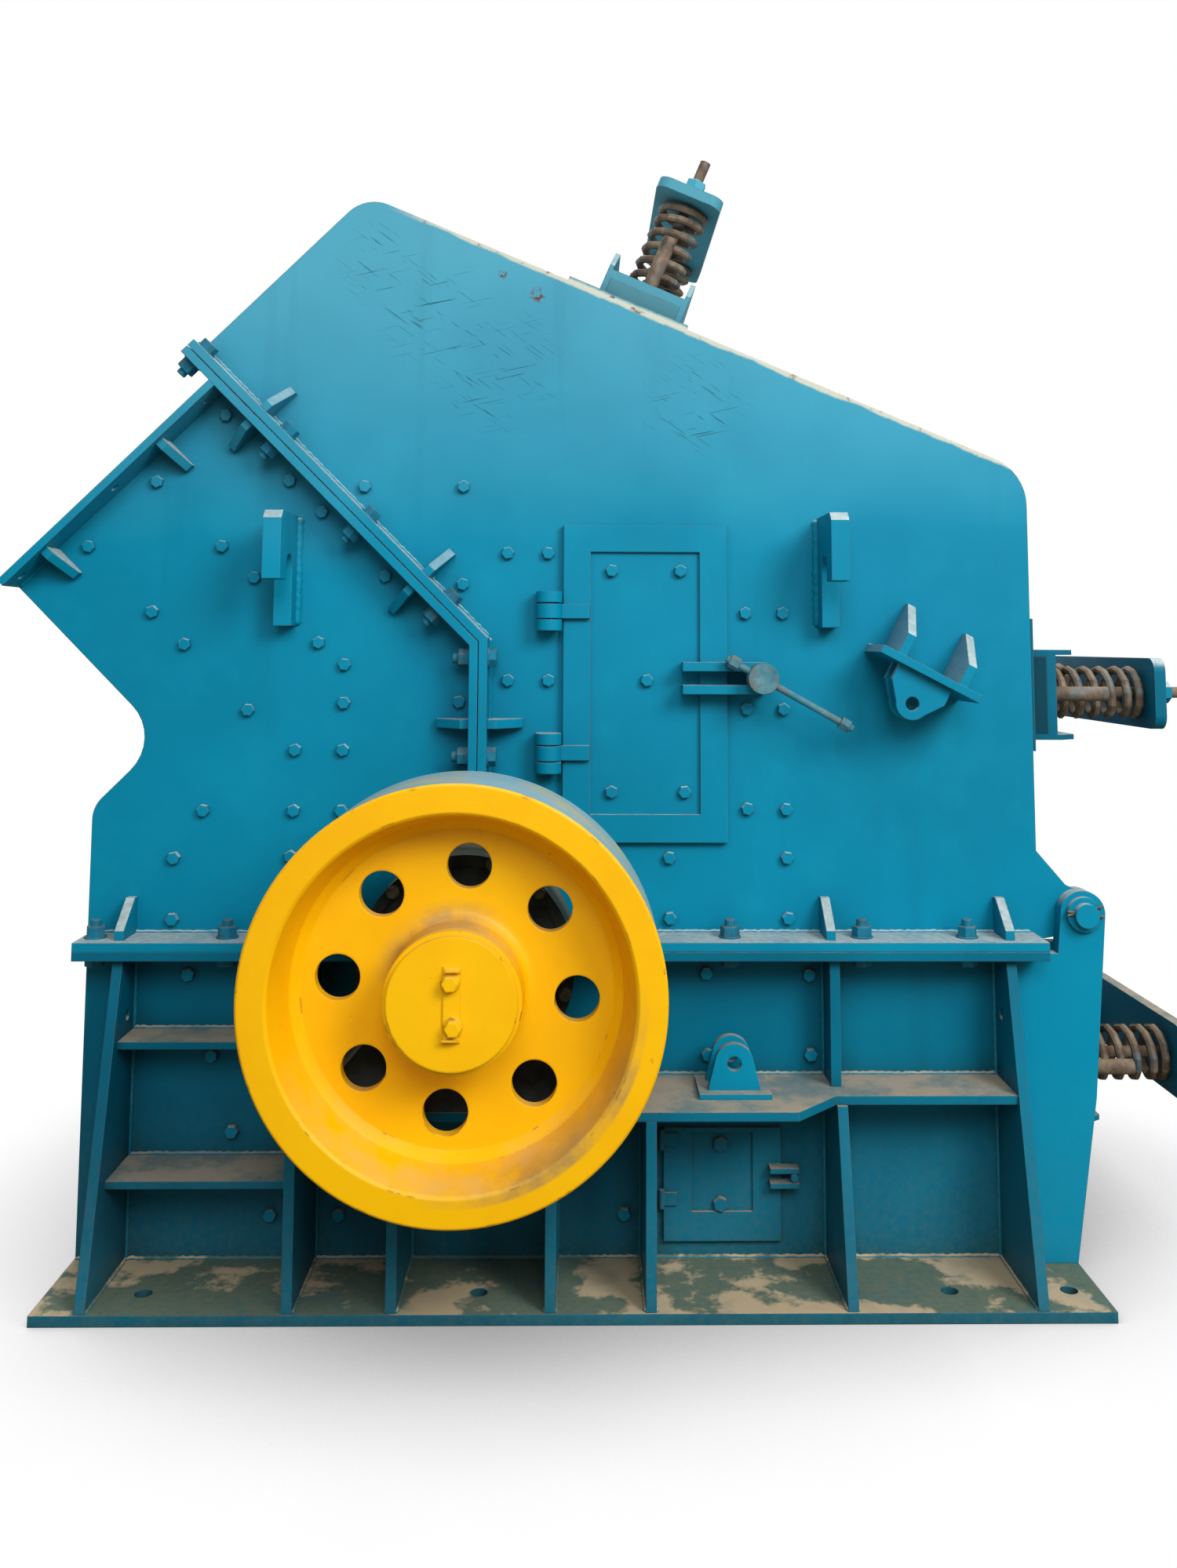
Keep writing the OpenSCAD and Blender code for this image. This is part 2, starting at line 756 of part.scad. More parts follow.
// Outer face of the feed end, from the mouth lip to the split
function feed_end_line() = concat(
    [[mouth_x, mouth_z]],
    corner([mouth_x, mouth_z], [throat_x, throat_z], [hull_x0, knee_z], throat_r),
    corner([throat_x, throat_z], [hull_x0, knee_z], [hull_x0, split_z], knee_r),
    [[hull_x0, split_z]]);

module front_side() {
    color(teal) difference() {
        across(-side_y, -side_y + wall_t)
            polygon(concat(feed_end_line(), reversed(joint_line(mouth_diff, split_z, -joint_gap / 2))));
        y_bar(rotor_x, axis_z, shaft_hole_r, -side_y - 1, -side_y + wall_t + 1);
    }
}

module front_side_near() {
    front_side();
}

module front_side_far() {
    mirror([0, 1, 0]) front_side();
}

// Bent plate that is the chute floor above and the end wall below
module chute_floor() {
    color(teal) across(-inner_w / 2, inner_w / 2) polygon(strip(feed_end_line(), wall_t));
}

// A place on the mouth plane: s up from the lip, with +Z of the children out of the mouth
module on_mouth(s) {
    translate([mouth_x + s * diag, 0, mouth_z + s * diag]) rotate([0, -45, 0]) children();
}

// Side strips of the feed flange with their bolt holes
module feed_flanges() {
    color(teal) both_sides() difference() {
        on_mouth(0) box([0, -side_y - feed_flange_proj, -feed_flange_t],
                        [mouth_len - joint_gap / 2 - joint_flange_t - seat, -side_y, 0]);
        for (s = feed_hole_s)
            on_mouth(s) translate([0, -side_y - feed_flange_proj / 2, -feed_flange_t - 1])
                cylinder(d = feed_hole_d, h = feed_flange_t + 2, $fn = 32);
    }
}

// Joint flange of one housing: side strips and the strip over the mouth,
// which is half_w wide to each side
module joint_flange(t0, t1, half_w) {
    lo = min(t0, t1);
    hi = max(t0, t1);
    color(teal) {
        both_sides() across(-side_y - joint_flange_proj, -side_y)
            polygon(concat(joint_line(slope_diff, axis_z + flange_stop, lo),
                           reversed(joint_line(slope_diff, axis_z + flange_stop, hi))));
        across(-half_w, half_w)
            polygon([for (d = [[lo, mouth_diff], [lo, slope_diff], [hi, slope_diff], [hi, mouth_diff]])
                let (sum = joint_sum + d[0] / diag, x = (sum - d[1]) / 2) [x, sum - x]]);
    }
}

module front_joint_flange() {
    joint_flange(-joint_gap / 2 - joint_flange_t, -joint_gap / 2, side_y);
}

module front_split_flanges() {
    color(teal) flange_strip(flange_x0, rotor_x - flange_stop, split_z);
}

// Lifting lug: a thick plate with a hooked nose and a round-topped slot
module lug(x) {
    z1 = lug_top_z;
    s0 = lug_reach - lug_nose - lug_slot;
    off_side(x - lug_t / 2, x + lug_t / 2) difference() {
        polygon([
            [0, z1 - lug_h], [s0, z1 - lug_h], [s0, z1 - lug_nose_h], [lug_reach, z1 - lug_nose_h],
            [lug_reach, z1 - 20], [lug_reach - 20, z1], [0, z1]
        ]);
        translate([s0 + lug_slot / 2, z1 - lug_crown - lug_slot / 2]) circle(d = lug_slot, $fn = 48);
        translate([s0, z1 - lug_h]) square([lug_slot, lug_h - lug_crown - lug_slot / 2]);
    }
}

module front_lugs() {
    color(teal) both_sides() lug(lug_x[0]);
}

module rear_lugs() {
    color(teal) both_sides() lug(lug_x[1]);
}

// Outline of a gusset: long side on the hull, short nose
gusset_l = 85;
gusset_h = 82;
gusset_nose = 22;
gusset_t = 22;

// Gusset standing on z = 0 of its own frame, against the near side
module gusset(l = gusset_l, h = gusset_h, front = gusset_nose) {
    off_side(-gusset_t / 2, gusset_t / 2)
        polygon([[0, 0], [h, 0], [h, front], [gusset_nose, l], [0, l]]);
}

// Gussets of one housing along the joint; side is 1 for the rear one
module joint_gussets(side) {
    off = joint_gap / 2 + joint_flange_t;
    for (s = joint_gusset_s)
        translate([joint_x - s * diag, 0, joint_bend_z + s * diag]) rotate([0, side > 0 ? 45 : -135, 0])
            translate([0, 0, off]) gusset();
    translate([joint_x, 0, joint_gusset_z]) rotate([0, side > 0 ? 90 : -90, 0]) translate([0, 0, off]) gusset();
}

module front_gussets() {
    color(teal) both_sides() {
        joint_gussets(-1);
        for (s = feed_gusset_s)
            on_mouth(s) translate([0, 0, -feed_flange_t]) mirror([0, 0, 1]) gusset();
        translate([tall_rib_x[0], 0, split_z + flange_t]) gusset(86, 98);
    }
}

module rear_gussets() {
    color(teal) both_sides() {
        joint_gussets(1);
        for (x = [mid_rib_x - 8, tall_rib_x[1]])
            translate([x, 0, split_z + seat_gap + flange_t]) gusset(86, 98);
    }
}

// Outer face of the roof, with a short straight run into each wall
roof_run = 20;
function roof_line() =
    let (a = corner([mouth_x, mouth_x + slope_diff], apex, shoulder, apex_r),
         b = corner(apex, shoulder, [hull_x1, split_z], shoulder_r))
    concat([a[0] - roof_run * [diag, diag]], a, b, [b[len(b) - 1] - [0, roof_run]]);

module rear_side() {
    start = joint_line(slope_diff, split_z + seat_gap, joint_gap / 2);
    color(teal) difference() {
        across(-side_y, -side_y + wall_t) {
            polygon(concat(reversed(start), roof_line(), [
                [hull_x1, pin_z + 146], [pin_x - 27, pin_z + 63], [pin_x, pin_z + ear_r - 4],
                [pin_x, pin_z - ear_r + 4], [flange_x1, split_z + seat_gap]
            ]));
            translate([pin_x, pin_z]) circle(r = ear_r, $fn = 64);
        }
        y_bar(pin_x, pin_z, pin_d / 2 + pin_fit, -side_y - 1, -side_y + wall_t + 1);
        y_bar(rotor_x, axis_z, shaft_hole_r, -side_y - 1, -side_y + wall_t + 1);
        box([door_way[0], -side_y - 1, door_way[1]], [door_way[2], -side_y + wall_t + 1, door_way[3]]);
    }
}

module rear_side_near() {
    rear_side();
}

module rear_side_far() {
    mirror([0, 1, 0]) rear_side();
}

module front_slope() {
    top = roof_line()[0];
    foot = joint_line(slope_diff, split_z, joint_gap / 2 + joint_flange_t + seat)[0];
    color(teal) across(-inner_w / 2, inner_w / 2) polygon(strip([foot, top], -wall_t));
}

module roof() {
    color(teal) difference() {
        across(-inner_w / 2, inner_w / 2) polygon(strip(roof_line(), -wall_t));
        at_roof_unit() rod_holes(-wall_t - 1, 1);
    }
}

module rear_wall() {
    line = roof_line();
    color(teal) difference() {
        box([hull_x1 - wall_t, -inner_w / 2, split_z + seat_gap], [hull_x1, inner_w / 2, line[len(line) - 1][1]]);
        at_wall_unit() rod_holes(-wall_t - 1, 1);
    }
}

module rear_joint_flange() {
    joint_flange(joint_gap / 2, joint_gap / 2 + joint_flange_t, inner_w / 2);
}

module rear_split_flanges() {
    color(teal) flange_strip(rotor_x + flange_stop, flange_x1, split_z + seat_gap);
}

// Upper cylinder bracket: sloping plate, two ears below it, two gussets above it
module cylinder_brackets() {
    color(teal) both_sides() translate([high_clevis_x, 0, high_clevis_z]) rotate([0, high_angle, 0]) {
        box([-high_span[0], -side_y - high_reach, high_drop],
            [high_span[1], -side_y, high_drop + high_plate_t]);
        translate([0, -side_y - clevis_y, 0]) mirror([0, 0, 1])
            clevis_ears(high_clevis_r, high_clevis_w, high_drop, high_skirt);
        for (s = [-1, 1])
            translate([high_gusset_mid + s * high_gusset_gap / 2, 0, high_drop + high_plate_t])
                gusset(high_gusset_h, high_reach - 4, high_gusset_front);
    }
}

// Eyes on the hull for the inspection door, with their pins
module door_hinge_eyes() {
    eye_h = (door_hinge_h - door_eye_h) / 2 - 3;
    color(teal) for (z = door_hinge_z) {
        for (z0 = [z - door_hinge_h / 2, z + door_hinge_h / 2 - eye_h]) {
            translate([door_pin_x, -side_y - door_pin_y, z0]) cylinder(r = door_eye_r, h = eye_h, $fn = 48);
            box([door_pin_x - door_eye_r, -side_y - door_pin_y, z0], [door_pin_x + 20, -side_y, z0 + eye_h]);
        }
        translate([door_pin_x, -side_y - door_pin_y, z - door_hinge_h / 2]) cylinder(r = door_pin_r, h = door_hinge_h, $fn = 32);
    }
}

// Door leaf with a sunk panel, the plug in the doorway, and hinge straps
module leaf(x0, x1, z0, z1, seat) {
    y1 = -side_y - seat;
    difference() {
        box([x0, y1 - door_t, z0], [x1, y1, z1]);
        box([x0 + door_frame, y1 - door_t - 1, z0 + door_frame],
            [x1 - door_frame, y1 - door_t + door_sink, z1 - door_frame]);
    }
    box([door_way[0] + door_fit, y1, door_way[1] + door_fit],
        [door_way[2] - door_fit, -side_y + wall_t - 2, door_way[3] - door_fit]);
}

module door_leaf() {
    face = -side_y - door_seat - door_t;
    color(teal) {
        leaf(door_x0, door_x1, door_z0, door_z1, door_seat);
        for (z = door_hinge_z) difference() {
            union() {
                translate([door_pin_x, -side_y - door_pin_y, z - door_eye_h / 2])
                    cylinder(r = door_eye_r, h = door_eye_h, $fn = 48);
                box([door_pin_x, face - strap_t, z - door_eye_h / 2], [strap_x1, face, z + door_eye_h / 2]);
            }
            translate([door_pin_x, -side_y - door_pin_y, z - door_eye_h])
                cylinder(r = door_pin_r + pin_fit, h = 2 * door_eye_h, $fn = 32);
        }
        for (s = [-1, 1]) {
            z = clamp_z + s * (fork_gap + fork_t) / 2;
            box([fork_x0, -side_y - fork_reach, z - fork_t / 2], [door_x1, face, z + fork_t / 2]);
            box([door_x1, -side_y - fork_reach, z - fork_t / 2], [clamp_x + 20, -side_y - 8, z + fork_t / 2]);
        }
    }
}

module far_door() {
    color(teal) mirror([0, 1, 0]) leaf(door_x0, door_x1, door_z0, door_z1, 0);
}

// Clamp screw with its round hub and sliding bar
module door_clamp() {
    y0 = -side_y - fork_reach;
    nut = [bar_r * 1.7, 14];
    color(deep_teal) {
        y_bar(clamp_x, clamp_z, hub_nut_r, y0 - hub_nut_l, y0 - 0.5);
        y_bar(clamp_x, clamp_z, screw_r, y0 - 0.5, -side_y - 6);
        translate([clamp_x, y0 - hub_nut_l / 2, clamp_z]) rotate([0, 90 - bar_angle, 0]) {
            translate([0, 0, -bar_short]) cylinder(r = bar_r, h = bar_short + bar_long, $fn = 24);
            for (z = [-bar_short, bar_long - nut[1]])
                translate([0, 0, z]) cylinder(r = nut[0], h = nut[1], $fn = 6);
        }
    }
}

// Small door of the lower frame with its knuckles and latch fork
module lower_door() {
    y1 = -side_y - door_seat;
    rim = 34;
    pin = [low_door_x0 - 6, y1 - low_door_t / 2];
    color(deep_teal) {
        difference() {
            box([low_door_x0, y1 - low_door_t, low_door_z0], [low_door_x1, y1, low_door_z1]);
            box([low_door_x0 + 2 * rim, y1 - low_door_t - 1, low_door_z0 + 2 * rim],
                [low_door_x1 - 2 * rim, y1 - low_door_t + 6, low_door_z1 - 10]);
        }
        for (z = low_hinge_z)
            translate([pin[0], pin[1], z - 18]) cylinder(r = low_knuckle_r - 2, h = 36, $fn = 24);
        for (s = [-1, 1])
            box([low_door_x1 - 30, y1 - low_door_t - 34, 222 + s * 17 - 6], [low_door_x1 + 40, y1 - low_door_t, 222 + s * 17 + 6]);
    }
}

// Places of the spring units: +Z of the children points out of the hull
module at_roof_unit() {
    translate([roof_unit[0], 0, roof_unit[1]]) rotate([0, roof_angle, 0]) translate([0, 0, seat]) children();
}

module at_wall_unit() {
    translate([hull_x1, 0, wall_unit_z]) rotate([0, 90, 0]) children();
}

module at_frame_unit() {
    translate([hull_x1 + frame_block, 0, frame_unit_z]) rotate([0, 90, 0]) children();
}

module rod_holes(z0, z1) {
    for (s = [-1, 1])
        translate([0, s * spring_y, z0]) cylinder(r = rod_r + rod_gap, h = z1 - z0, $fn = 32);
}

// Pad, channel, spacer sleeves and end plate of one spring unit
module spring_seats() {
    half = channel_w / 2;
    difference() {
        union() {
            box([-pad_span[0], -side_y + pad_inset, 0], [pad_span[1], side_y - pad_inset, pad_t]);
            for (x = [-half, half - channel_flange_t])
                translate([x, 0, 0]) rotate([90, 0, 90]) linear_extrude(channel_flange_t) polygon([
                    [-channel_half, pad_t], [channel_half, pad_t], [channel_half, spring_seat_z + 10],
                    [channel_half - 30, channel_h], [30 - channel_half, channel_h],
                    [-channel_half, spring_seat_z + 10]
                ]);
            box([channel_flange_t - half, -channel_half, web_z], [half - channel_flange_t, channel_half, spring_seat_z]);
            for (y = [-channel_half, channel_half - channel_cap_t])
                box([channel_flange_t - half, y, pad_t], [half - channel_flange_t, y + channel_cap_t, web_z]);
        }
        rod_holes(-1, spring_seat_z + 1);
    }
    difference() {
        translate([0, 0, end_plate_z]) linear_extrude(end_plate_t) union() {
            square([end_plate_w, 2 * (end_plate_half - end_plate_r)], center = true);
            square([end_plate_w - 2 * end_plate_r, 2 * end_plate_half], center = true);
            for (sx = [-1, 1], sy = [-1, 1])
                translate([sx * (end_plate_w / 2 - end_plate_r), sy * (end_plate_half - end_plate_r)])
                    circle(r = end_plate_r, $fn = 48);
        }
        rod_holes(end_plate_z - 1, end_plate_z + end_plate_t + 1);
    }
}

// Coil spring: the wire lies flat on its seats for the first and last turn
spring_steps = 12;
wire_sides = 8;
flat_turns = 0.75;

// Height of the wire's centre after t turns
function coil_z(t) =
    let (w = spring_wire, rise = spring_l - 2 * w * 0.5,
         mid = spring_coils - 2 * flat_turns, flat = w * flat_turns * 1.02,
         climb = (rise - 2 * flat) / mid)
    w / 2 + (t < flat_turns ? t * w * 1.02 :
             t < spring_coils - flat_turns ? flat + (t - flat_turns) * climb :
             rise - (spring_coils - t) * w * 1.02);

function coil_ring(t) =
    let (a = 360 * t, m = (spring_od - spring_wire) / 2, z = coil_z(t))
    [for (j = [0:wire_sides - 1])
        let (b = 360 * (j + 0.5) / wire_sides, r = m + spring_wire / 2 * cos(b))
        [r * cos(a), r * sin(a), z + spring_wire / 2 * sin(b)]];

module coil_spring() {
    n = round(spring_coils * spring_steps);
    points = [for (i = [0:n]) each coil_ring(spring_coils * i / n)];
    faces = concat(
        [[for (j = [0:wire_sides - 1]) j]],
        [[for (j = [wire_sides - 1:-1:0]) n * wire_sides + j]],
        [for (i = [0:n - 1], j = [0:wire_sides - 1])
            let (k = (j + 1) % wire_sides, p = i * wire_sides, q = p + wire_sides)
            each [[p + j, q + j, q + k], [p + j, q + k, p + k]]]);
    polyhedron(points, faces);
}

module springs() {
    color(rusty) for (s = [-1, 1]) translate([0, s * spring_y, spring_seat_z]) coil_spring();
}

// Tie rods with nuts, and the spacer sleeves beside the springs;
// depth is how far the rods reach into the hull
module tie_rods(depth) {
    top = end_plate_z + end_plate_t;
    color(rusty) for (s = [-1, 1]) translate([0, s * spring_y, 0]) {
        translate([0, 0, -depth]) cylinder(r = rod_r, h = depth + top + rod_tail, $fn = 32);
        translate([0, 0, top]) cylinder(d = nut_af / cos(30), h = nut_h, $fn = 6);
        translate([0, s * (sleeve_y - spring_y), spring_seat_z]) difference() {
            cylinder(r = sleeve_r, h = sleeve_l, $fn = 32);
            translate([0, 0, 5]) cylinder(r = sleeve_bore, h = sleeve_l, $fn = 24);
        }
    }
}

// Impact apron: a slab from its shaft to its tip, with bosses for the rods
// on its back. unit_at is where the rods cross the hull, dir their way in.
function apron_depth(line, unit_at, dir) =
    let (a = line[0], b = line[1], n = left_of(unit(b - a)), c = a + n * apron_t / 2)
    ((c - unit_at) * n) / (dir * n);

module apron(line, unit_at, dir) {
    d = apron_depth(line, unit_at, dir) - boss_r;
    u = unit(line[1] - line[0]);
    color(steel) {
        across(-apron_w / 2, apron_w / 2) polygon([
            for (p = [[0, -1], [1, -1], [1, 0.2], [0.93, 1], [0, 1]])
                line[0] + p[0] * (line[1] - line[0]) + p[1] * left_of(u) * apron_t / 2
        ]);
        y_bar(line[0][0], line[0][1], apron_shaft_r, -inner_w / 2, inner_w / 2);
        for (s = [-1, 1])
            translate([unit_at[0] + d * dir[0], s * spring_y, unit_at[1] + d * dir[1]])
                rotate([0, 90 - atan2(dir[1], dir[0]), 0]) cylinder(r = boss_r, h = boss_r + apron_t / 3, $fn = 32);
    }
}

module upper_apron() {
    apron(upper_apron_line, roof_unit, roof_in);
}

module rear_apron() {
    apron(rear_apron_line, [hull_x1, wall_unit_z], [-1, 0]);
}

module frame_apron() {
    apron(frame_apron_line, [hull_x1 + frame_block, frame_unit_z], [-1, 0]);
}

module roof_spring_seats() {
    color(teal) at_roof_unit() spring_seats();
}

module roof_springs() {
    at_roof_unit() springs();
}

module roof_tie_rods() {
    at_roof_unit() tie_rods(apron_depth(upper_apron_line, roof_unit, roof_in) - boss_r);
}

module wall_spring_seats() {
    color(teal) at_wall_unit() spring_seats();
}

module wall_springs() {
    at_wall_unit() springs();
}

module wall_tie_rods() {
    at_wall_unit() tie_rods(apron_depth(rear_apron_line, [hull_x1, wall_unit_z], [-1, 0]) - boss_r);
}

module frame_spring_seats() {
    color(teal) at_frame_unit() {
        spring_seats();
        difference() {
            box([-pad_span[0] + 20, -side_y + pad_inset, -frame_block], [pad_span[1] - 20, side_y - pad_inset, 0]);
            rod_holes(-frame_block - 1, 1);
        }
    }
}

module frame_springs() {
    at_frame_unit() springs();
}

module frame_tie_rods() {
    at_frame_unit() tie_rods(apron_depth(frame_apron_line, [hull_x1 + frame_block, frame_unit_z], [-1, 0]) - boss_r);
}

module rotor_shaft() {
    bearing_in = side_y + bearing_gap;
    bearing_out = bearing_in + bearing_w;
    color(steel) {
        y_bar(rotor_x, axis_z, shaft_r, -bearing_in, bearing_in);
        y_bar(rotor_x, axis_z, journal_r, -bearing_out - 10, -bearing_in);
        y_bar(rotor_x, axis_z, journal_r, bearing_in, bearing_out + 20);
        y_bar(rotor_x, axis_z, nose_r, pulley_y + hub_setback, -bearing_out - 10);
    }
}

// Cross-section of a blow bar, at its place on the rotor
module bar_outline(a) {
    rotate(a) translate([rotor_r - bar_depth, -bar_t / 2]) square([bar_depth, bar_t]);
}

module rotor_drum() {
    pitch = (rotor_w - disc_t) / (disc_count - 1);
    color(steel) translate([rotor_x, 0, axis_z]) difference() {
        union() {
            y_bar(0, 0, drum_r, -rotor_w / 2 + 1, rotor_w / 2 - 1);
            for (i = [0:disc_count - 1])
                across(-rotor_w / 2 + i * pitch, -rotor_w / 2 + i * pitch + disc_t) difference() {
                    circle(r = disc_r, $fn = 96);
                    for (k = [0:bar_count - 1]) bar_outline(45 + 360 * k / bar_count);
                }
        }
        y_bar(0, 0, shaft_r, -rotor_w, rotor_w);
    }
}

module blow_bars() {
    color(rusty) translate([rotor_x, 0, axis_z]) across(-rotor_w / 2, rotor_w / 2)
        for (k = [0:bar_count - 1]) bar_outline(45 + 360 * k / bar_count);
}

// Half section of the pulley: radius, and depth behind the face of the rim
module pulley_section() {
    back = web_depth + web_t;
    chamfer = 4;
    polygon(concat(
        [[nose_r, hub_setback], [hub_r, hub_setback]],
        [for (i = [0:5]) let (a = 90 * i / 5)
            [hub_r + hub_fillet * (1 - cos(a)), web_depth - hub_fillet * (1 - sin(a))]],
        [[rim_root_r - 20, web_depth], [rim_root_r, web_depth - 20], [rim_inner_r, 6],
         [rim_inner_r + 6, 0], [pulley_r - chamfer, 0], [pulley_r, chamfer],
         [pulley_r, pulley_w - chamfer], [pulley_r - chamfer, pulley_w],
         [rim_inner_r, pulley_w], [rim_root_r, back + 20], [rim_root_r - 20, back],
         [hub_r + 10, back], [hub_r, back + 10], [hub_r, pulley_w - 20], [nose_r, pulley_w - 20]]));
}

module pulley() {
    color(yellow) translate([rotor_x, pulley_y, axis_z]) rotate([-90, 0, 0]) difference() {
        rotate_extrude($fn = 128) pulley_section();
        for (i = [0:web_holes - 1])
            rotate(360 * i / web_holes + 5) translate([web_hole_pcr, 0, web_depth - 1])
                cylinder(r = web_hole_r, h = web_t + 2, $fn = 48);
    }
}

module pulley_cover() {
    color(yellow) y_bar(rotor_x, axis_z, cover_r, pulley_y + hub_setback - cover_t, pulley_y + hub_setback);
}

base_plate();
lower_side_near();
lower_side_far();
lower_end_walls();
ribs_near();
ribs_far();
shelves_near();
shelves_far();
lower_flanges();
hinge_posts();
cylinder_clevises();
bearing_housings();
front_side_near();
front_side_far();
chute_floor();
feed_flanges();
front_joint_flange();
front_split_flanges();
front_lugs();
front_gussets();
frame_spring_seats();
frame_springs();
frame_tie_rods();
frame_apron();
rear_side_near();
rear_side_far();
front_slope();
roof();
rear_wall();
rear_joint_flange();
rear_split_flanges();
rear_lugs();
rear_gussets();
cylinder_brackets();
door_hinge_eyes();
far_door();
roof_spring_seats();
roof_springs();
roof_tie_rods();
upper_apron();
wall_spring_seats();
wall_springs();
wall_tie_rods();
rear_apron();
rotor_shaft();
rotor_drum();
blow_bars();
pulley();
pulley_cover();
door_leaf();
door_clamp();
lower_door();
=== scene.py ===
"""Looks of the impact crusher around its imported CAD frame."""
import math
import random

import bpy
from mathutils import Matrix, Vector


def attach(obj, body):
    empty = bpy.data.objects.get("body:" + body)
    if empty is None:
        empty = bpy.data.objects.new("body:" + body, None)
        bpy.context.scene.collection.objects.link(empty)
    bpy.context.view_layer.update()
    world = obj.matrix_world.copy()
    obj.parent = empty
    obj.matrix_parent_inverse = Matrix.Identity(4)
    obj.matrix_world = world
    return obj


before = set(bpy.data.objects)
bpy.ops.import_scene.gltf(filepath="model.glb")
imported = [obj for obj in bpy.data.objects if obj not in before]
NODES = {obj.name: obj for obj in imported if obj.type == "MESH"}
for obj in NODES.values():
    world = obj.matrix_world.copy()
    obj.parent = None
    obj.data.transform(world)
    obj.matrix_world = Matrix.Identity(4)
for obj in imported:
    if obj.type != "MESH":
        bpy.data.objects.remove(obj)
random.seed(7)


# Sizes for the comparison of the CAD with what is shown
def box_of(objects):
    low, high = [1e9] * 3, [-1e9] * 3
    for o in objects:
        for v in o.data.vertices:
            p = o.matrix_world @ v.co
            for i in range(3):
                low[i], high[i] = min(low[i], p[i]), max(high[i], p[i])
    return [round(high[i] - low[i], 4) for i in range(3)]


bpy.context.view_layer.update()
CAD_SIZE = box_of(NODES.values())

# Main sizes in metres, as in the CAD
SIDE = 0.575
SPLIT = 0.766
AXIS = Vector((-0.254, 0, 0.766))
JOINT_X, BEND_Z = -0.245, 1.498
JOINT_SUM = JOINT_X + BEND_Z
MOUTH = Vector((-1.416, 0, 1.643))
ROOF_UNIT = Vector((0.143, 0, 2.3523))
ROOF_ANGLE = math.radians(22.8)
WALL_X = 1.138
BOTH = (-1, 1)
# Each part of a direction at 45 degrees
D = math.sqrt(0.5)


def lin(r, g, b):
    def one(c):
        c /= 255
        return c / 12.92 if c <= 0.04045 else ((c + 0.055) / 1.055) ** 2.4
    return (one(r), one(g), one(b), 1)


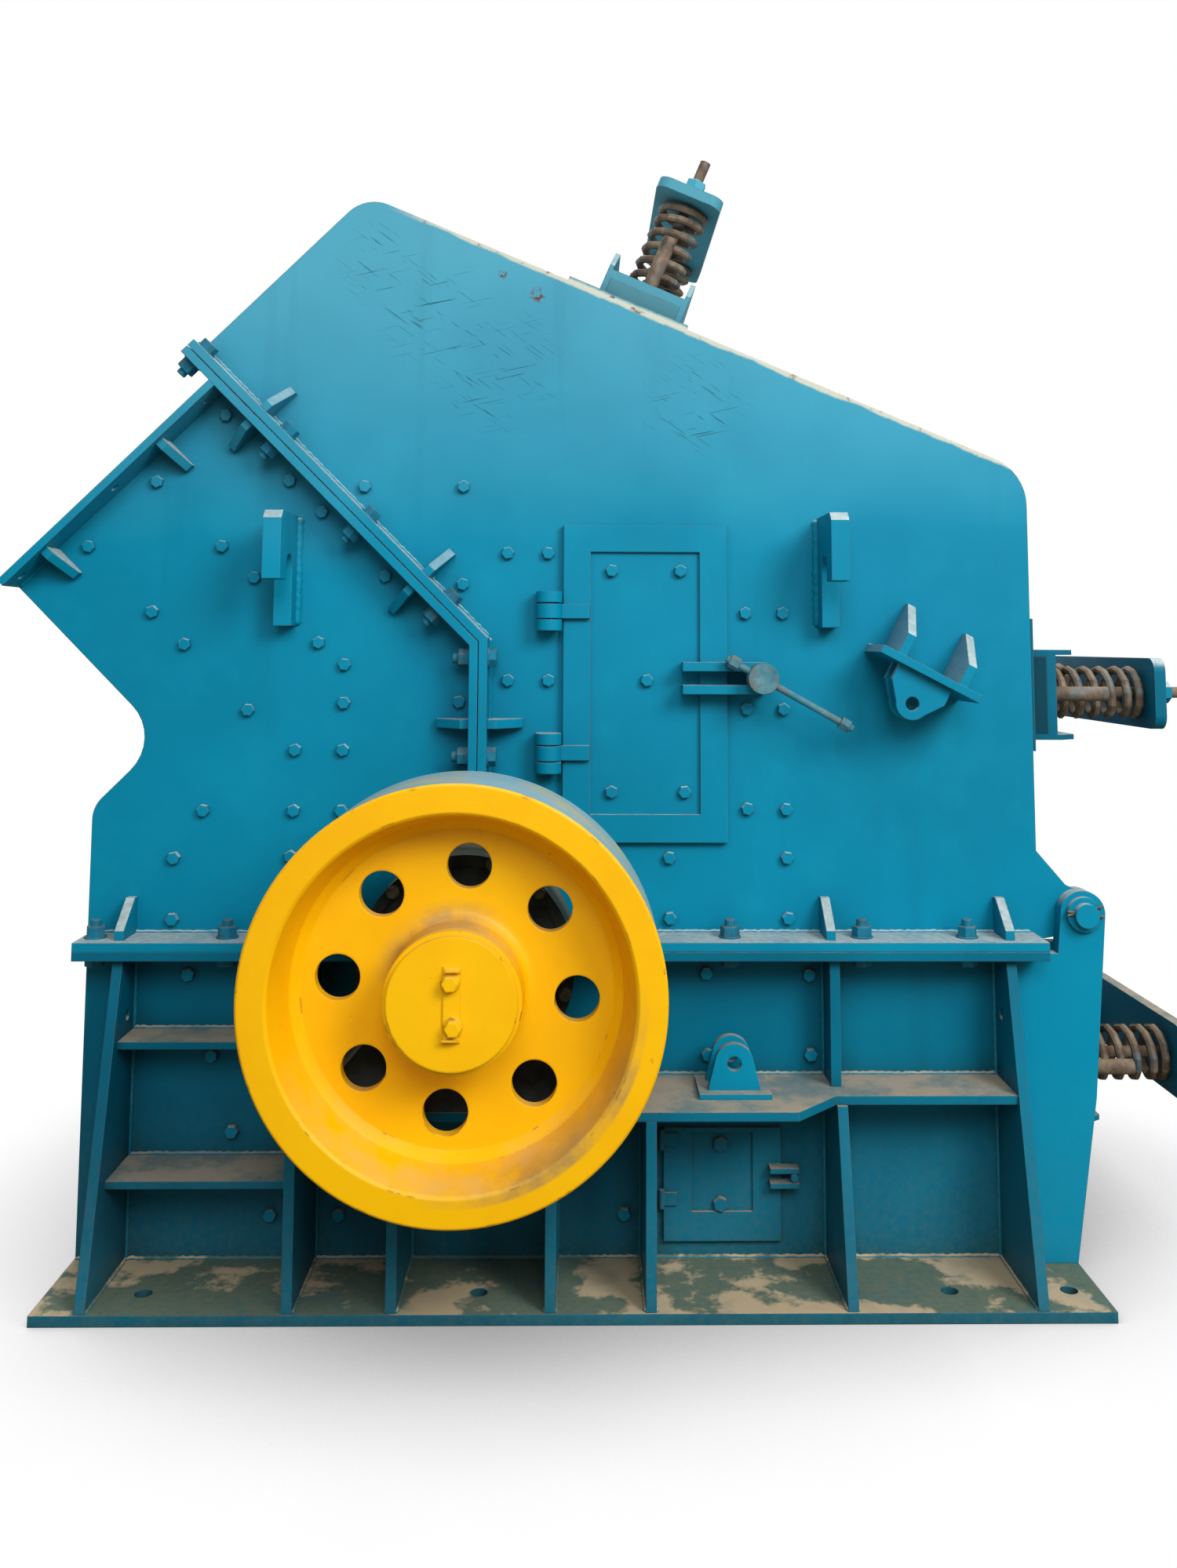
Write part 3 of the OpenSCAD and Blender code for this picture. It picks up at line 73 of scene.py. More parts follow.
# Node trees
class Tree:
    def __init__(self, name):
        self.mat = bpy.data.materials.new(name)
        self.mat.use_nodes = True
        self.nt = self.mat.node_tree
        self.nt.nodes.clear()
        self.co = self.add("ShaderNodeTexCoord").outputs["Object"]
        self.geo = self.add("ShaderNodeNewGeometry")

    def add(self, kind, **props):
        n = self.nt.nodes.new(kind)
        for k, v in props.items():
            setattr(n, k, v)
        return n

    def put(self, socket, value):
        if isinstance(value, bpy.types.NodeSocket):
            self.nt.links.new(value, socket)
        else:
            socket.default_value = value

    def noise(self, scale, detail=5.0, rough=0.6, stretch=(1, 1, 1), shift=0.0, turn=0.0):
        m = self.add("ShaderNodeMapping")
        self.put(m.inputs["Vector"], self.co)
        m.inputs["Scale"].default_value = stretch
        if turn:
            m.vector_type = "TEXTURE"
            m.inputs["Scale"].default_value = [1 / k for k in stretch]
            m.inputs["Rotation"].default_value = (0, turn, 0)
        m.inputs["Location"].default_value = (shift, shift * 0.7, shift * 1.3)
        n = self.add("ShaderNodeTexNoise")
        self.put(n.inputs["Vector"], m.outputs[0])
        n.inputs["Scale"].default_value = scale
        n.inputs["Detail"].default_value = detail
        n.inputs["Roughness"].default_value = rough
        return n.outputs[0]

    def ramp(self, value, a, b, lo=0.0, hi=1.0):
        n = self.add("ShaderNodeMapRange", clamp=True)
        for k, v in zip(("Value", "From Min", "From Max", "To Min", "To Max"), (value, a, b, lo, hi)):
            self.put(n.inputs[k], v)
        return n.outputs[0]

    def math(self, op, a, b=0.0):
        n = self.add("ShaderNodeMath", operation=op)
        self.put(n.inputs[0], a)
        self.put(n.inputs[1], b)
        return n.outputs[0]

    def mix(self, fac, a, b):
        n = self.add("ShaderNodeMix", data_type="RGBA")
        self.put(n.inputs[0], fac)
        self.put(n.inputs[6], a)
        self.put(n.inputs[7], b)
        return n.outputs[2]

    def split(self, vector):
        n = self.add("ShaderNodeSeparateXYZ")
        self.put(n.inputs[0], vector)
        return n.outputs

    def zone(self, x0, z0, radius):
        """1 near a point of the side walls, fading to 0 at the radius."""
        x, y, z = self.split(self.co)
        dx, dz = self.math("ADD", x, -x0), self.math("ADD", z, -z0)
        square = self.math("ADD", self.math("MULTIPLY", dx, dx), self.math("MULTIPLY", dz, dz))
        return self.ramp(self.math("SQRT", square), radius, radius * 0.4)

    def corners(self, distance):
        """1 deep in corners, 0 on open faces."""
        ao = self.add("ShaderNodeAmbientOcclusion", samples=4)
        ao.inputs["Distance"].default_value = distance
        return self.ramp(ao.outputs["AO"], 0.85, 0.35)

    def edges(self, radius=0.004):
        """A rounded normal, and a mask that is 1 on outer edges."""
        bevel = self.add("ShaderNodeBevel", samples=4)
        bevel.inputs["Radius"].default_value = radius
        dot = self.add("ShaderNodeVectorMath", operation="DOT_PRODUCT")
        self.put(dot.inputs[0], bevel.outputs[0])
        self.put(dot.inputs[1], self.geo.outputs["Normal"])
        return bevel.outputs[0], self.ramp(dot.outputs["Value"], 0.99, 0.9)

    def finish(self, color, rough, metal, height, strength, normal=None, distance=0.002, gloss=0.4):
        b = self.add("ShaderNodeBsdfPrincipled")
        self.put(b.inputs["Base Color"], color)
        self.put(b.inputs["Roughness"], rough)
        self.put(b.inputs["Metallic"], metal)
        b.inputs["Specular IOR Level"].default_value = gloss
        bump = self.add("ShaderNodeBump")
        bump.inputs["Strength"].default_value = strength
        bump.inputs["Distance"].default_value = distance
        self.put(bump.inputs["Height"], height)
        if normal is not None:
            self.put(bump.inputs["Normal"], normal)
        self.put(b.inputs["Normal"], bump.outputs[0])
        out = self.add("ShaderNodeOutputMaterial")
        self.put(out.inputs["Surface"], b.outputs[0])
        return self.mat


DUST = lin(150, 132, 100)
PALE = lin(176, 192, 194)
WARM = lin(166, 154, 136)
DRAB = lin(112, 130, 126)
SAND = lin(190, 170, 138)
WORN = lin(84, 108, 96)
RUST = lin(92, 58, 36)
# Dark teal for dirt runs and for painted shade in corners
DARK_DIRT_AND_SHADE = lin(10, 50, 56)
# Worn places on the side walls: X, Z and radius
SCUFFS = ((-0.52, 2.46, 0.13), (-0.38, 2.34, 0.17), (-0.22, 2.19, 0.2), (0.3, 2.1, 0.16))
RUSTY_SPOTS = ((-0.11, 2.385, 0.024), (-0.2, 2.44, 0.014))


def paint(name, base, light, dark, wear=0.5, rough=0.42, grime_and_shade=0.3):
    t = Tree(name)
    normal, edge = t.edges()
    big, mid, fine = t.noise(1.1, 3), t.noise(7, 6, shift=3), t.noise(55, 6, 0.65, shift=9)
    color = t.mix(t.ramp(big, 0.36, 0.64), dark, base)
    color = t.mix(t.math("MULTIPLY", t.ramp(mid, 0.5, 0.8), 0.22), color, light)
    x, y, z = t.split(t.co)
    # Painted haze: paler teal towards the roof, standing in for the sheen of light there
    painted_haze = t.ramp(t.math("ADD", z, t.math("MULTIPLY", big, 0.6)), 2.05, 2.75, 0.0, 0.4)
    color = t.mix(painted_haze, color, lin(110, 180, 196))
    # Faint runs of dirt down the walls, and painted shade: darker teal deep in corners, found by ambient
    # occlusion
    streak = t.noise(9, 5, 0.6, (1, 1, 0.07), 5)
    color = t.mix(t.math("MULTIPLY", t.ramp(streak, 0.56, 0.78), 0.14), color, DARK_DIRT_AND_SHADE)
    deep = t.math("MULTIPLY", t.corners(0.07), t.ramp(mid, 0.3, 0.6, grime_and_shade * 0.6, grime_and_shade))
    color = t.mix(deep, color, DARK_DIRT_AND_SHADE)
    splash = t.math("MULTIPLY", t.ramp(z, 0.5, 0.0), t.ramp(fine, 0.35, 0.7, 0.1, 0.5))
    color = t.mix(t.math("MULTIPLY", splash, grime_and_shade), color, WORN)
    # Scratches where slings and scaffolds have rubbed
    lines = t.ramp(t.noise(260, 2, 0.5, (0.045, 1, 1), 41, 0.62), 0.66, 0.69)
    more = t.ramp(t.noise(230, 2, 0.5, (0.03, 1, 1), 53, -0.22), 0.675, 0.7)
    rubbed = t.zone(*SCUFFS[0])
    for scuff in SCUFFS[1:]:
        rubbed = t.math("MAXIMUM", rubbed, t.zone(*scuff))
    marks = t.math("MULTIPLY", t.math("MAXIMUM", lines, more), rubbed)
    color = t.mix(t.math("MULTIPLY", marks, 0.75), color, lin(20, 62, 72))
    # Chips and rust, most of them along the roof edge
    chip = t.math("MULTIPLY", edge, t.ramp(t.noise(38, 4, shift=20), 0.46, 0.58))
    chip = t.math("MULTIPLY", chip, t.ramp(z, 1.85, 2.05, wear, 1.0))
    spot = t.math("MULTIPLY", t.ramp(t.noise(21, 8, 0.72, shift=31), 0.7, 0.75), wear)
    bare = t.math("MAXIMUM", chip, spot)
    flake = t.ramp(t.noise(70, 6, 0.7, shift=60), 0.47, 0.53)
    for place in RUSTY_SPOTS:
        bare = t.math("MAXIMUM", bare, t.math("MULTIPLY", flake, t.zone(*place)))
    # Painted highlight: outer edges lightened towards a pale teal
    color = t.mix(t.math("MULTIPLY", edge, 0.3), color, lin(70, 140, 156))
    color = t.mix(bare, color, RUST)
    # Bare and rusty rim of the walls along the roof
    rim = t.math("ADD", t.math("ADD", z, t.math("MULTIPLY", x, 0.42)), t.math("MULTIPLY", mid, 0.03))
    rim = t.math("MULTIPLY", t.ramp(rim, 2.413, 2.419), t.ramp(rim, 2.45, 2.44))
    side = t.math("ABSOLUTE", t.split(t.geo.outputs["Normal"])[1])
    rim = t.math("MULTIPLY", t.math("MULTIPLY", rim, t.ramp(side, 0.5, 0.7)), t.ramp(x, -0.5, -0.35))
    flecks = t.ramp(t.noise(30, 6, 0.7, shift=90), 0.58, 0.7)
    color = t.mix(rim, color, t.mix(flecks, lin(186, 190, 176), RUST))
    # Settled dust in patches on faces that look up, sandy near the floor
    up = t.split(t.geo.outputs["Normal"])[2]
    patch = t.ramp(t.noise(3.6, 7, 0.6, shift=70), 0.5, 0.54)
    low = t.mix(patch, t.mix(t.ramp(fine, 0.3, 0.8, 0.0, 0.4), WORN, DUST), SAND)
    shelf = t.mix(t.ramp(mid, 0.42, 0.56), t.mix(t.ramp(fine, 0.35, 0.7, 0.1, 0.6), DRAB, WARM), WARM)
    high = t.mix(t.ramp(fine, 0.3, 0.65, 0.4, 1.0), DRAB, PALE)
    film = t.mix(t.ramp(z, 0.05, 0.2), low, t.mix(t.ramp(z, 0.6, 0.75), shelf, high))
    lie = t.math("MULTIPLY", t.ramp(up, 0.3, 0.7), t.ramp(mid, 0.3, 0.5, 0.65, 0.95))
    color = t.mix(lie, color, film)
    shine = t.math("MAXIMUM", t.ramp(mid, 0.3, 0.7, rough, rough + 0.12), t.math("MULTIPLY", lie, 0.95))
    height = t.math("ADD", t.math("MULTIPLY", fine, 0.5), t.math("MULTIPLY", big, 1.2))
    return t.finish(color, shine, 0.0, height, 0.2, normal, gloss=0.1)


def yellow_paint(name):
    t = Tree(name)
    normal, edge = t.edges(0.006)
    base, ochre = lin(238, 182, 0), lin(228, 162, 0)
    big, fine = t.noise(3, 4), t.noise(60, 5, shift=4)
    color = t.mix(t.math("MULTIPLY", t.ramp(big, 0.4, 0.65), 0.5), base, ochre)
    # Pale overspray on the belt face of the rim
    x, y, z = t.split(t.co)
    off = t.math("SQRT", t.math("ADD", t.math("POWER", t.math("ADD", x, -AXIS.x), 2.0),
                                t.math("POWER", t.math("ADD", z, -AXIS.z), 2.0)))
    rim = t.math("MULTIPLY", t.ramp(off, 0.437, 0.4395), t.ramp(y, -1.158, -1.150))
    spray = t.mix(t.ramp(t.noise(8, 6, 0.7, shift=8), 0.5, 0.7), lin(126, 166, 180), lin(190, 172, 96))
    color = t.mix(rim, color, spray)
    # Grease and dirt in the dish and round the hub
    dish = t.math("MULTIPLY", t.zone(AXIS.x + 0.27, AXIS.z - 0.29, 0.36), t.ramp(off, 0.345, 0.375))
    dish = t.math("MULTIPLY", dish, t.ramp(off, 0.402, 0.396))
    collar = t.math("MULTIPLY", t.zone(AXIS.x - 0.06, AXIS.z + 0.13, 0.2), t.ramp(off, 0.19, 0.15))
    collar = t.math("MULTIPLY", collar, t.ramp(y, -1.14, -1.12))
    uneven = t.ramp(t.noise(7, 6, 0.65, shift=44), 0.36, 0.56, 0.2, 0.75)
    smear = t.math("MULTIPLY", t.math("MAXIMUM", dish, collar), uneven)
    color = t.mix(smear, color, lin(150, 122, 78))
    chip = t.math("MULTIPLY", edge, t.ramp(t.noise(15, 5, 0.6, shift=15), 0.58, 0.62))
    spot = t.ramp(t.noise(30, 7, 0.7, shift=27), 0.68, 0.72)
    color = t.mix(t.math("MAXIMUM", chip, t.math("MULTIPLY", spot, 0.7)), color, lin(88, 66, 40))
    up = t.split(t.geo.outputs["Normal"])[2]
    lie = t.math("MULTIPLY", t.ramp(up, 0.3, 0.9), t.ramp(t.noise(9, 5, shift=33), 0.4, 0.6))
    color = t.mix(t.math("MULTIPLY", lie, 0.3), color, SAND)
    return t.finish(color, t.ramp(fine, 0.3, 0.7, 0.34, 0.5), 0.0, fine, 0.12, normal, gloss=0.2)


def rusty(name, dark=lin(62, 50, 42), light=lin(138, 122, 104), orange=lin(100, 70, 48), tint=0.0):
    t = Tree(name)
    normal = t.edges(0.003)[0]
    mid, fine = t.noise(14, 7, 0.7), t.noise(80, 6, 0.7, shift=6)
    color = t.mix(t.ramp(mid, 0.35, 0.65), dark, light)
    color = t.mix(t.math("MULTIPLY", t.ramp(t.noise(30, 6, shift=11), 0.5, 0.66), 0.6), color, orange)
    left = t.math("MULTIPLY", t.ramp(t.noise(9, 5, shift=19), 0.52, 0.64), tint)
    color = t.mix(left, color, lin(0, 118, 146))
    up = t.split(t.geo.outputs["Normal"])[2]
    lie = t.math("MULTIPLY", t.ramp(up, 0.4, 0.9), t.ramp(fine, 0.35, 0.6))
    color = t.mix(t.math("MULTIPLY", lie, 0.5), color, DUST)
    return t.finish(color, t.ramp(fine, 0.3, 0.7, 0.6, 0.85), 0.15, fine, 0.5, normal)


def iron(name, base=lin(34, 38, 40), light=lin(70, 76, 78), dust=0.85):
    t = Tree(name)
    normal = t.edges(0.004)[0]
    mid, fine = t.noise(10, 6), t.noise(90, 6, 0.7, shift=5)
    color = t.mix(t.ramp(mid, 0.4, 0.65), base, light)
    up = t.split(t.geo.outputs["Normal"])[2]
    lie = t.math("MULTIPLY", t.ramp(up, 0.2, 0.8), t.ramp(mid, 0.3, 0.5, 0.4, 1.0))
    color = t.mix(t.math("MULTIPLY", lie, dust), color, DUST)
    return t.finish(color, 0.7, 0.2, fine, 0.4, normal)


TEAL = paint("teal", lin(0, 133, 166), lin(8, 152, 180), lin(0, 120, 152))
DEEP = paint("deep teal", lin(0, 108, 136), lin(8, 122, 146), lin(0, 90, 116), wear=0.7, grime_and_shade=0.75)
# Dark teal for painted shade on the channel ends of the spring units
PAINTED_SHADE_TEAL = paint("shaded teal", lin(0, 70, 90), lin(0, 86, 106), lin(0, 58, 74), grime_and_shade=0.9)
WELD = paint("weld paint", lin(24, 118, 140), lin(90, 150, 160), lin(0, 100, 126), grime_and_shade=0.3)
YELLOW = yellow_paint("yellow")
RUSTY = rusty("rusty steel", tint=0.35)
BOLT = rusty("painted bolts", lin(0, 90, 118), lin(0, 122, 152), lin(60, 84, 84), 0.8)
HANDLE = rusty("handle paint", lin(40, 100, 118), lin(96, 144, 152), lin(112, 86, 62), 0.45)
STEEL = rusty("worn steel", lin(70, 68, 64), lin(126, 122, 114), lin(104, 78, 54))
IRON = iron("cast iron")

LOOK = {}
for n in NODES:
    LOOK[n] = TEAL
for n in ("base_plate", "lower_side_near", "lower_side_far", "lower_end_walls", "ribs_near", "ribs_far",
          "shelves_near", "shelves_far", "lower_flanges", "lower_door"):
    LOOK[n] = DEEP
for n in NODES:
    if n.endswith("springs") or n.endswith("tie_rods"):
        LOOK[n] = RUSTY
    if n.endswith("apron"):
        LOOK[n] = STEEL
    # The spring seats take the darker teal as painted shade
    if n.endswith("spring_seats"):
        LOOK[n] = DEEP
for n in ("rotor_shaft", "rotor_drum", "blow_bars"):
    LOOK[n] = STEEL
LOOK["bearing_housings"] = IRON
LOOK["door_clamp"] = HANDLE
LOOK["pulley"] = LOOK["pulley_cover"] = YELLOW
SMOOTH = ("pulley", "rotor_shaft", "bearing_housings")
for n, o in NODES.items():
    o.data.materials.clear()
    o.data.materials.append(LOOK[n])


# Small pieces are gathered by body and finish, and made in one go
class Gather:
    def __init__(self):
        self.parts = {}

    def add(self, body, mat, verts, faces):
        vs, fs = self.parts.setdefault((body, mat.name), ([], []))
        k = len(vs)
        vs.extend(tuple(v) for v in verts)
        fs.extend(tuple(i + k for i in f) for f in faces)

    def make(self, label):
        for (body, mat), (vs, fs) in self.parts.items():
            me = bpy.data.meshes.new(label)
            me.from_pydata(vs, [], fs)
            me.validate()
            o = bpy.data.objects.new("_".join((label, body, mat)).replace(" ", "_"), me)
            bpy.context.scene.collection.objects.link(o)
            me.materials.append(bpy.data.materials[mat])
            if label == "welds":
                for p in me.polygons:
                    p.use_smooth = True
            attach(o, body)


def sides_of(n):
    n = Vector(n).normalized()
    a = n.orthogonal().normalized()
    return n, a, n.cross(a)


def turned(g, body, mat, p, n, rings, count, spin=0.0):
    """A solid of revolution about n at p: rings are (height, radius)."""
    n, a, b = sides_of(n)
    vs, fs = [], []
    for h, r in rings:
        for i in range(count):
            w = spin + 2 * math.pi * i / count
            vs.append(Vector(p) + n * h + (a * math.cos(w) + b * math.sin(w)) * r)
    m = len(rings)
    for k in range(m - 1):
        for i in range(count):
            j = (i + 1) % count
            fs.append((k * count + i, k * count + j, (k + 1) * count + j, (k + 1) * count + i))
    fs.append(tuple(range(count))[::-1])
    fs.append(tuple((m - 1) * count + i for i in range(count)))
    g.add(body, mat, vs, fs)


def bolt(g, body, p, n, af=0.041, h=0.018, mat=None, washer=True, stud=0.0):
    """Hexagon head or nut on a washer, with a stud end standing out of it."""
    mat = mat or BOLT
    n = Vector(n).normalized()
    base = Vector(p) - n * 0.0008
    r = af / 2 / math.cos(math.pi / 6)
    t = 0.0045 if washer else 0.0
    if washer:
        turned(g, body, mat, base, n, [(0, r * 1.12), (t, r * 1.12)], 20)
    c = 0.08 * h
    turned(g, body, mat, base, n, [(t, r), (t + h - c, r), (t + h, r * 0.9)], 6, random.uniform(0, 1))
    if stud:
        top, thread = t + h + stud, af * 0.31
        turned(g, body, mat, base, n, [(t + h - c, thread), (top - 0.002, thread), (top, af * 0.27)], 12)


def bead(g, body, mat, a, b, r=0.006, step=0.008):
    """Weld bead from a to b: an uneven rope with ripples."""
    a, b = Vector(a), Vector(b)
    n, u, v = sides_of(b - a)
    length = (b - a).length
    count = max(2, int(length / step))
    vs, fs = [], []
    for i in range(count + 1):
        swell = 1 + 0.16 * math.sin(i * 2.4) + random.uniform(-0.1, 0.1)
        if i in (0, count):
            swell = 0.55
        c = a + n * (length * i / count) + (u * random.uniform(-1, 1) + v * random.uniform(-1, 1)) * 0.0008
        for k in range(6):
            w = math.pi * k / 3
            vs.append(c + (u * math.cos(w) + v * math.sin(w)) * r * swell)
    for i in range(count):
        for k in range(6):
            j = (k + 1) % 6
            fs.append((i * 6 + k, i * 6 + j, i * 6 + 6 + j, i * 6 + 6 + k))
    fs.append((5, 4, 3, 2, 1, 0))
    fs.append(tuple(count * 6 + k for k in range(6)))
    g.add(body, mat, vs, fs)


BOX_FACES = [(0, 1, 3, 2), (4, 6, 7, 5), (0, 4, 5, 1), (2, 3, 7, 6), (0, 2, 6, 4), (1, 5, 7, 3)]


def block(g, body, mat, c, half):
    """A box about c with half sizes along X, Y and Z."""
    corners = [Vector((a * half[0], b * half[1], e * half[2])) for a in BOTH for b in BOTH for e in BOTH]
    vs = [Vector(c) + corner for corner in corners]
    g.add(body, mat, vs, BOX_FACES)


bolts = Gather()
welds = Gather()

# Bolts of the wear liners: X and Z of each head in millimetres
FRONT_BOLTS = [
    (-897, 2066), (-1065, 1896), (-732, 1900), (-1230, 1732), (-897, 1734), (-542, 1887), (-649, 1821),
    (-814, 1656), (-487, 1660), (-1066, 1569), (-983, 1489), (-650, 1494), (-584, 1440), (-584, 1345),
    (-821, 1327), (-702, 1229), (-584, 1229), (-924, 1081), (-702, 1081), (-585, 1081), (-993, 966),
    (-707, 970), (-992, 819), (-298, 1348)]
REAR_BOLTS = [
    (-293, 1888), (-292, 1641), (-180, 1720), (-78, 1720), (82, 1676), (254, 1676), (418, 1571),
    (511, 1571), (-177, 1402), (-76, 1402), (170, 1403), (420, 1332), (512, 1332), (82, 1129),
    (263, 1129), (420, 1087), (516, 1086), (226, 968), (517, 968), (227, 822), (519, 822)]
LOWER_BOLTS = [
    (-949, 687), (-886, 496), (-832, 319), (-735, 126), (-571, 126), (115, 126), (316, 690), (568, 686),
    (319, 497), (570, 497)]
# Those that sit on the inspection door
DOOR_BOLTS = {(82, 1676), (254, 1676), (170, 1403), (82, 1129), (263, 1129)}
# Across flats and height of a liner bolt's head
LINER = (0.028, 0.016)
for body, table in (("frame", FRONT_BOLTS), ("rear_housing", REAR_BOLTS), ("frame", LOWER_BOLTS)):
    for x, z in table:
        for s in BOTH:
            on_door = (x, z) in DOOR_BOLTS
            rider = "door" if on_door and s < 0 else body
            raised = (0.0105 if s < 0 else 0.01) if on_door else 0
            bolt(bolts, rider, (x / 1000, s * (SIDE + raised), z / 1000), (0, s, 0), *LINER, TEAL, False)

# Bolts, hinge straps and latch bolt of the lower door
for z in (0.152, 0.290):
    bolt(bolts, "lower_leaf", (0.347, -0.5835, z), (0, -1, 0), 0.032, 0.014, DEEP, False)
for z in (0.165, 0.303):
    block(bolts, "lower_leaf", DEEP, (0.22, -0.5895, z), (0.022, 0.006, 0.015))
    barrel = (0.205, -0.5935, z - 0.022)
    turned(bolts, "lower_leaf", DEEP, barrel, (0, 0, 1), [(0, 0.007), (0.044, 0.007)], 12)
turned(bolts, "lower_leaf", DEEP, (0.522, -0.585, 0.222), (0, -1, 0), [(0, 0.008), (0.03, 0.008)], 12)
bolt(bolts, "lower_leaf", (0.522, -0.611, 0.222), (0, -1, 0), 0.019, 0.012, BOLT, False)

# Nuts on the sliding bar of the door clamp: direction of the bar and where it crosses the screw
BAR = Vector((0.8746, 0, -0.4848))
GRIP = Vector((0.447, -0.680, 1.410))
for at, way in ((0.24, 1), (-0.092, -1)):
    end = GRIP + BAR * (at - way * 0.026)
    nut = [(0, 0.0165), (0.022, 0.0165), (0.025, 0.014)]
    turned(bolts, "door_handle", HANDLE, end, BAR * way, nut, 6, 0.3)
    turned(bolts, "door_handle", HANDLE, end, BAR * way, [(0.02, 0.0088), (0.034, 0.0088)], 12)

# Flange bolts of the joint between the housings, and of the split flange below them
JOINT_HALF = 0.022
SPLIT_HALF = 0.021
COVER_RING, COVER_FACE = 0.234, 0.845
for s in BOTH:
    y = s * (SIDE + 0.055)
    for d in (0.126, 0.415, 0.709, 1.004):
        p = Vector((JOINT_X - d * D, y, BEND_Z + d * D))
        n = Vector((D, 0, D))
        bolt(bolts, "rear_housing", p + n * JOINT_HALF, n)
        bolt(bolts, "frame", p - n * JOINT_HALF, -n, h=0.026, stud=0.014)
    for z in (1.457, 1.217):
        bolt(bolts, "rear_housing", (JOINT_X + JOINT_HALF, y, z), (1, 0, 0))
        bolt(bolts, "frame", (JOINT_X - JOINT_HALF, y, z), (-1, 0, 0), h=0.026, stud=0.014)
    y = s * (SIDE + 0.062)
    for x in (-1.157, -0.842, 0.368, 0.688, 0.944):
        top = "frame" if x < 0 else "rear_housing"
        z = SPLIT + SPLIT_HALF + (0 if x < 0 else 0.001)
        bolt(bolts, top, (x, y, z), (0, 0, 1), 0.041, 0.024, stud=0.016)
        bolt(bolts, "frame", (x, y, SPLIT - SPLIT_HALF), (0, 0, -1), 0.041, 0.02)
    # Cover bolts of the bearings
    for i in range(12):
        w = 2 * math.pi * (i + 0.5) / 12
        p = (AXIS.x + COVER_RING * math.cos(w), s * COVER_FACE, AXIS.z + COVER_RING * math.sin(w))
        bolt(bolts, "frame", p, (0, s, 0), 0.024, 0.012, STEEL)

# Two bolts and a bent lock plate on the pulley cover
COVER_Y = -1.168
for x, z in ((-0.003, 0.044), (0.004, -0.044)):
    bolt(bolts, "rotor", (AXIS.x + x, COVER_Y - 0.003, AXIS.z + z), (0, -1, 0), 0.03, 0.016, YELLOW)
block(bolts, "rotor", YELLOW, (AXIS.x, COVER_Y - 0.0015, AXIS.z), (0.018, 0.0022, 0.075))
for s in BOTH:
    lip = (AXIS.x + 0.003 * s, COVER_Y - 0.009, AXIS.z + s * 0.068)
    block(bolts, "rotor", YELLOW, lip, (0.016, 0.008, 0.002))

# Split pins of the housing hinge
HINGE = Vector((1.236, 0, 0.839))
for s in BOTH:
    for i in range(2):
        at = HINGE + Vector((-0.045, s * (SIDE + 0.06), 0.01 * i))
        turned(bolts, "frame", STEEL, at, (1, 0, 0.25 - 0.4 * i), [(0, 0.003), (0.09, 0.003)], 8)


def line(body, mat, pts, y, r=0.006):
    """Weld beads along X and Z points, on both sides at y."""
    for a, b in zip(pts, pts[1:]):
        for s in BOTH:
            bead(welds, body, mat, (a[0], s * y, a[1]), (b[0], s * y, b[1]), r)


# Welds of ribs and shelves
FLANGE_UNDER, BASE_TOP, SHELF_TOP = SPLIT - SPLIT_HALF, 0.024, 0.450
TALL = (-1.090, 1.038, 0.615, -0.637)
SHORT = (-0.408, -0.057, 0.167)
for x in TALL + SHORT:
    top = FLANGE_UNDER if x in TALL else SHELF_TOP - 0.02
    for e in (-0.012, 0.012):
        line("frame", WELD, [(x + e, BASE_TOP), (x + e, top)], SIDE, 0.007)
        for s in BOTH:
            bead(welds, "frame", WELD, (x + e, s * SIDE, BASE_TOP), (x + e, s * (SIDE + 0.27), BASE_TOP))
line("frame", WELD, [(-0.649, SHELF_TOP), (1.026, SHELF_TOP)], SIDE, 0.007)
line("frame", WELD, [(-0.649, SHELF_TOP - 0.02), (1.026, SHELF_TOP - 0.02)], SIDE, 0.007)
for z in (0.265, 0.560):
    line("frame", WELD, [(-1.078, z), (-0.649, z)], SIDE, 0.007)
line("frame", WELD, [(-1.19, FLANGE_UNDER), (-0.52, FLANGE_UNDER)], SIDE, 0.007)
line("frame", WELD, [(0.01, FLANGE_UNDER), (1.05, FLANGE_UNDER)], SIDE, 0.007)
line("frame", WELD, [(-1.198, BASE_TOP), (1.19, BASE_TOP)], SIDE, 0.007)
# Welds of the housings
line("frame", TEAL, [(-1.19, SPLIT + 0.021), (-0.52, SPLIT + 0.021)], SIDE)
line("rear_housing", TEAL, [(0.01, SPLIT + 0.022), (1.12, SPLIT + 0.022)], SIDE)
for body, off, diff in (("frame", -0.022, 3.059), ("rear_housing", 0.022, 3.2)):
    total = JOINT_SUM + off / D
    x = (total - diff) / 2
    bx = JOINT_X + off
    line(body, TEAL, [(x, x + diff), (bx, total - bx), (bx, 1.03)], SIDE)
line("frame", TEAL, [(MOUTH.x + 0.016, MOUTH.z - 0.012), (MOUTH.x + 0.497, MOUTH.z + 0.48)], SIDE)
for body, x in (("frame", -0.730), ("rear_housing", 0.623)):
    for e in (-0.022, 0.022):
        line(body, TEAL, [(x + e, 1.537), (x + e, 1.808)], SIDE, 0.013)
BRACKET = Matrix.Translation((0.797, 0, 1.353)) @ Matrix.Rotation(math.radians(27.5), 4, "Y")
for h in (0.073, 0.093):
    a, b = BRACKET @ Vector((-0.127, 0, h)), BRACKET @ Vector((0.136, 0, h))
    line("rear_housing", TEAL, [(a.x, a.z), (b.x, b.z)], SIDE)
# Roof seams between the side walls and the bent plates
for seam in ([(-0.973, 2.226), (-0.62, 2.578)], [(-0.465, 2.607), (1.03, 1.979)]):
    line("rear_housing", TEAL, seam, SIDE - 0.025, 0.004)
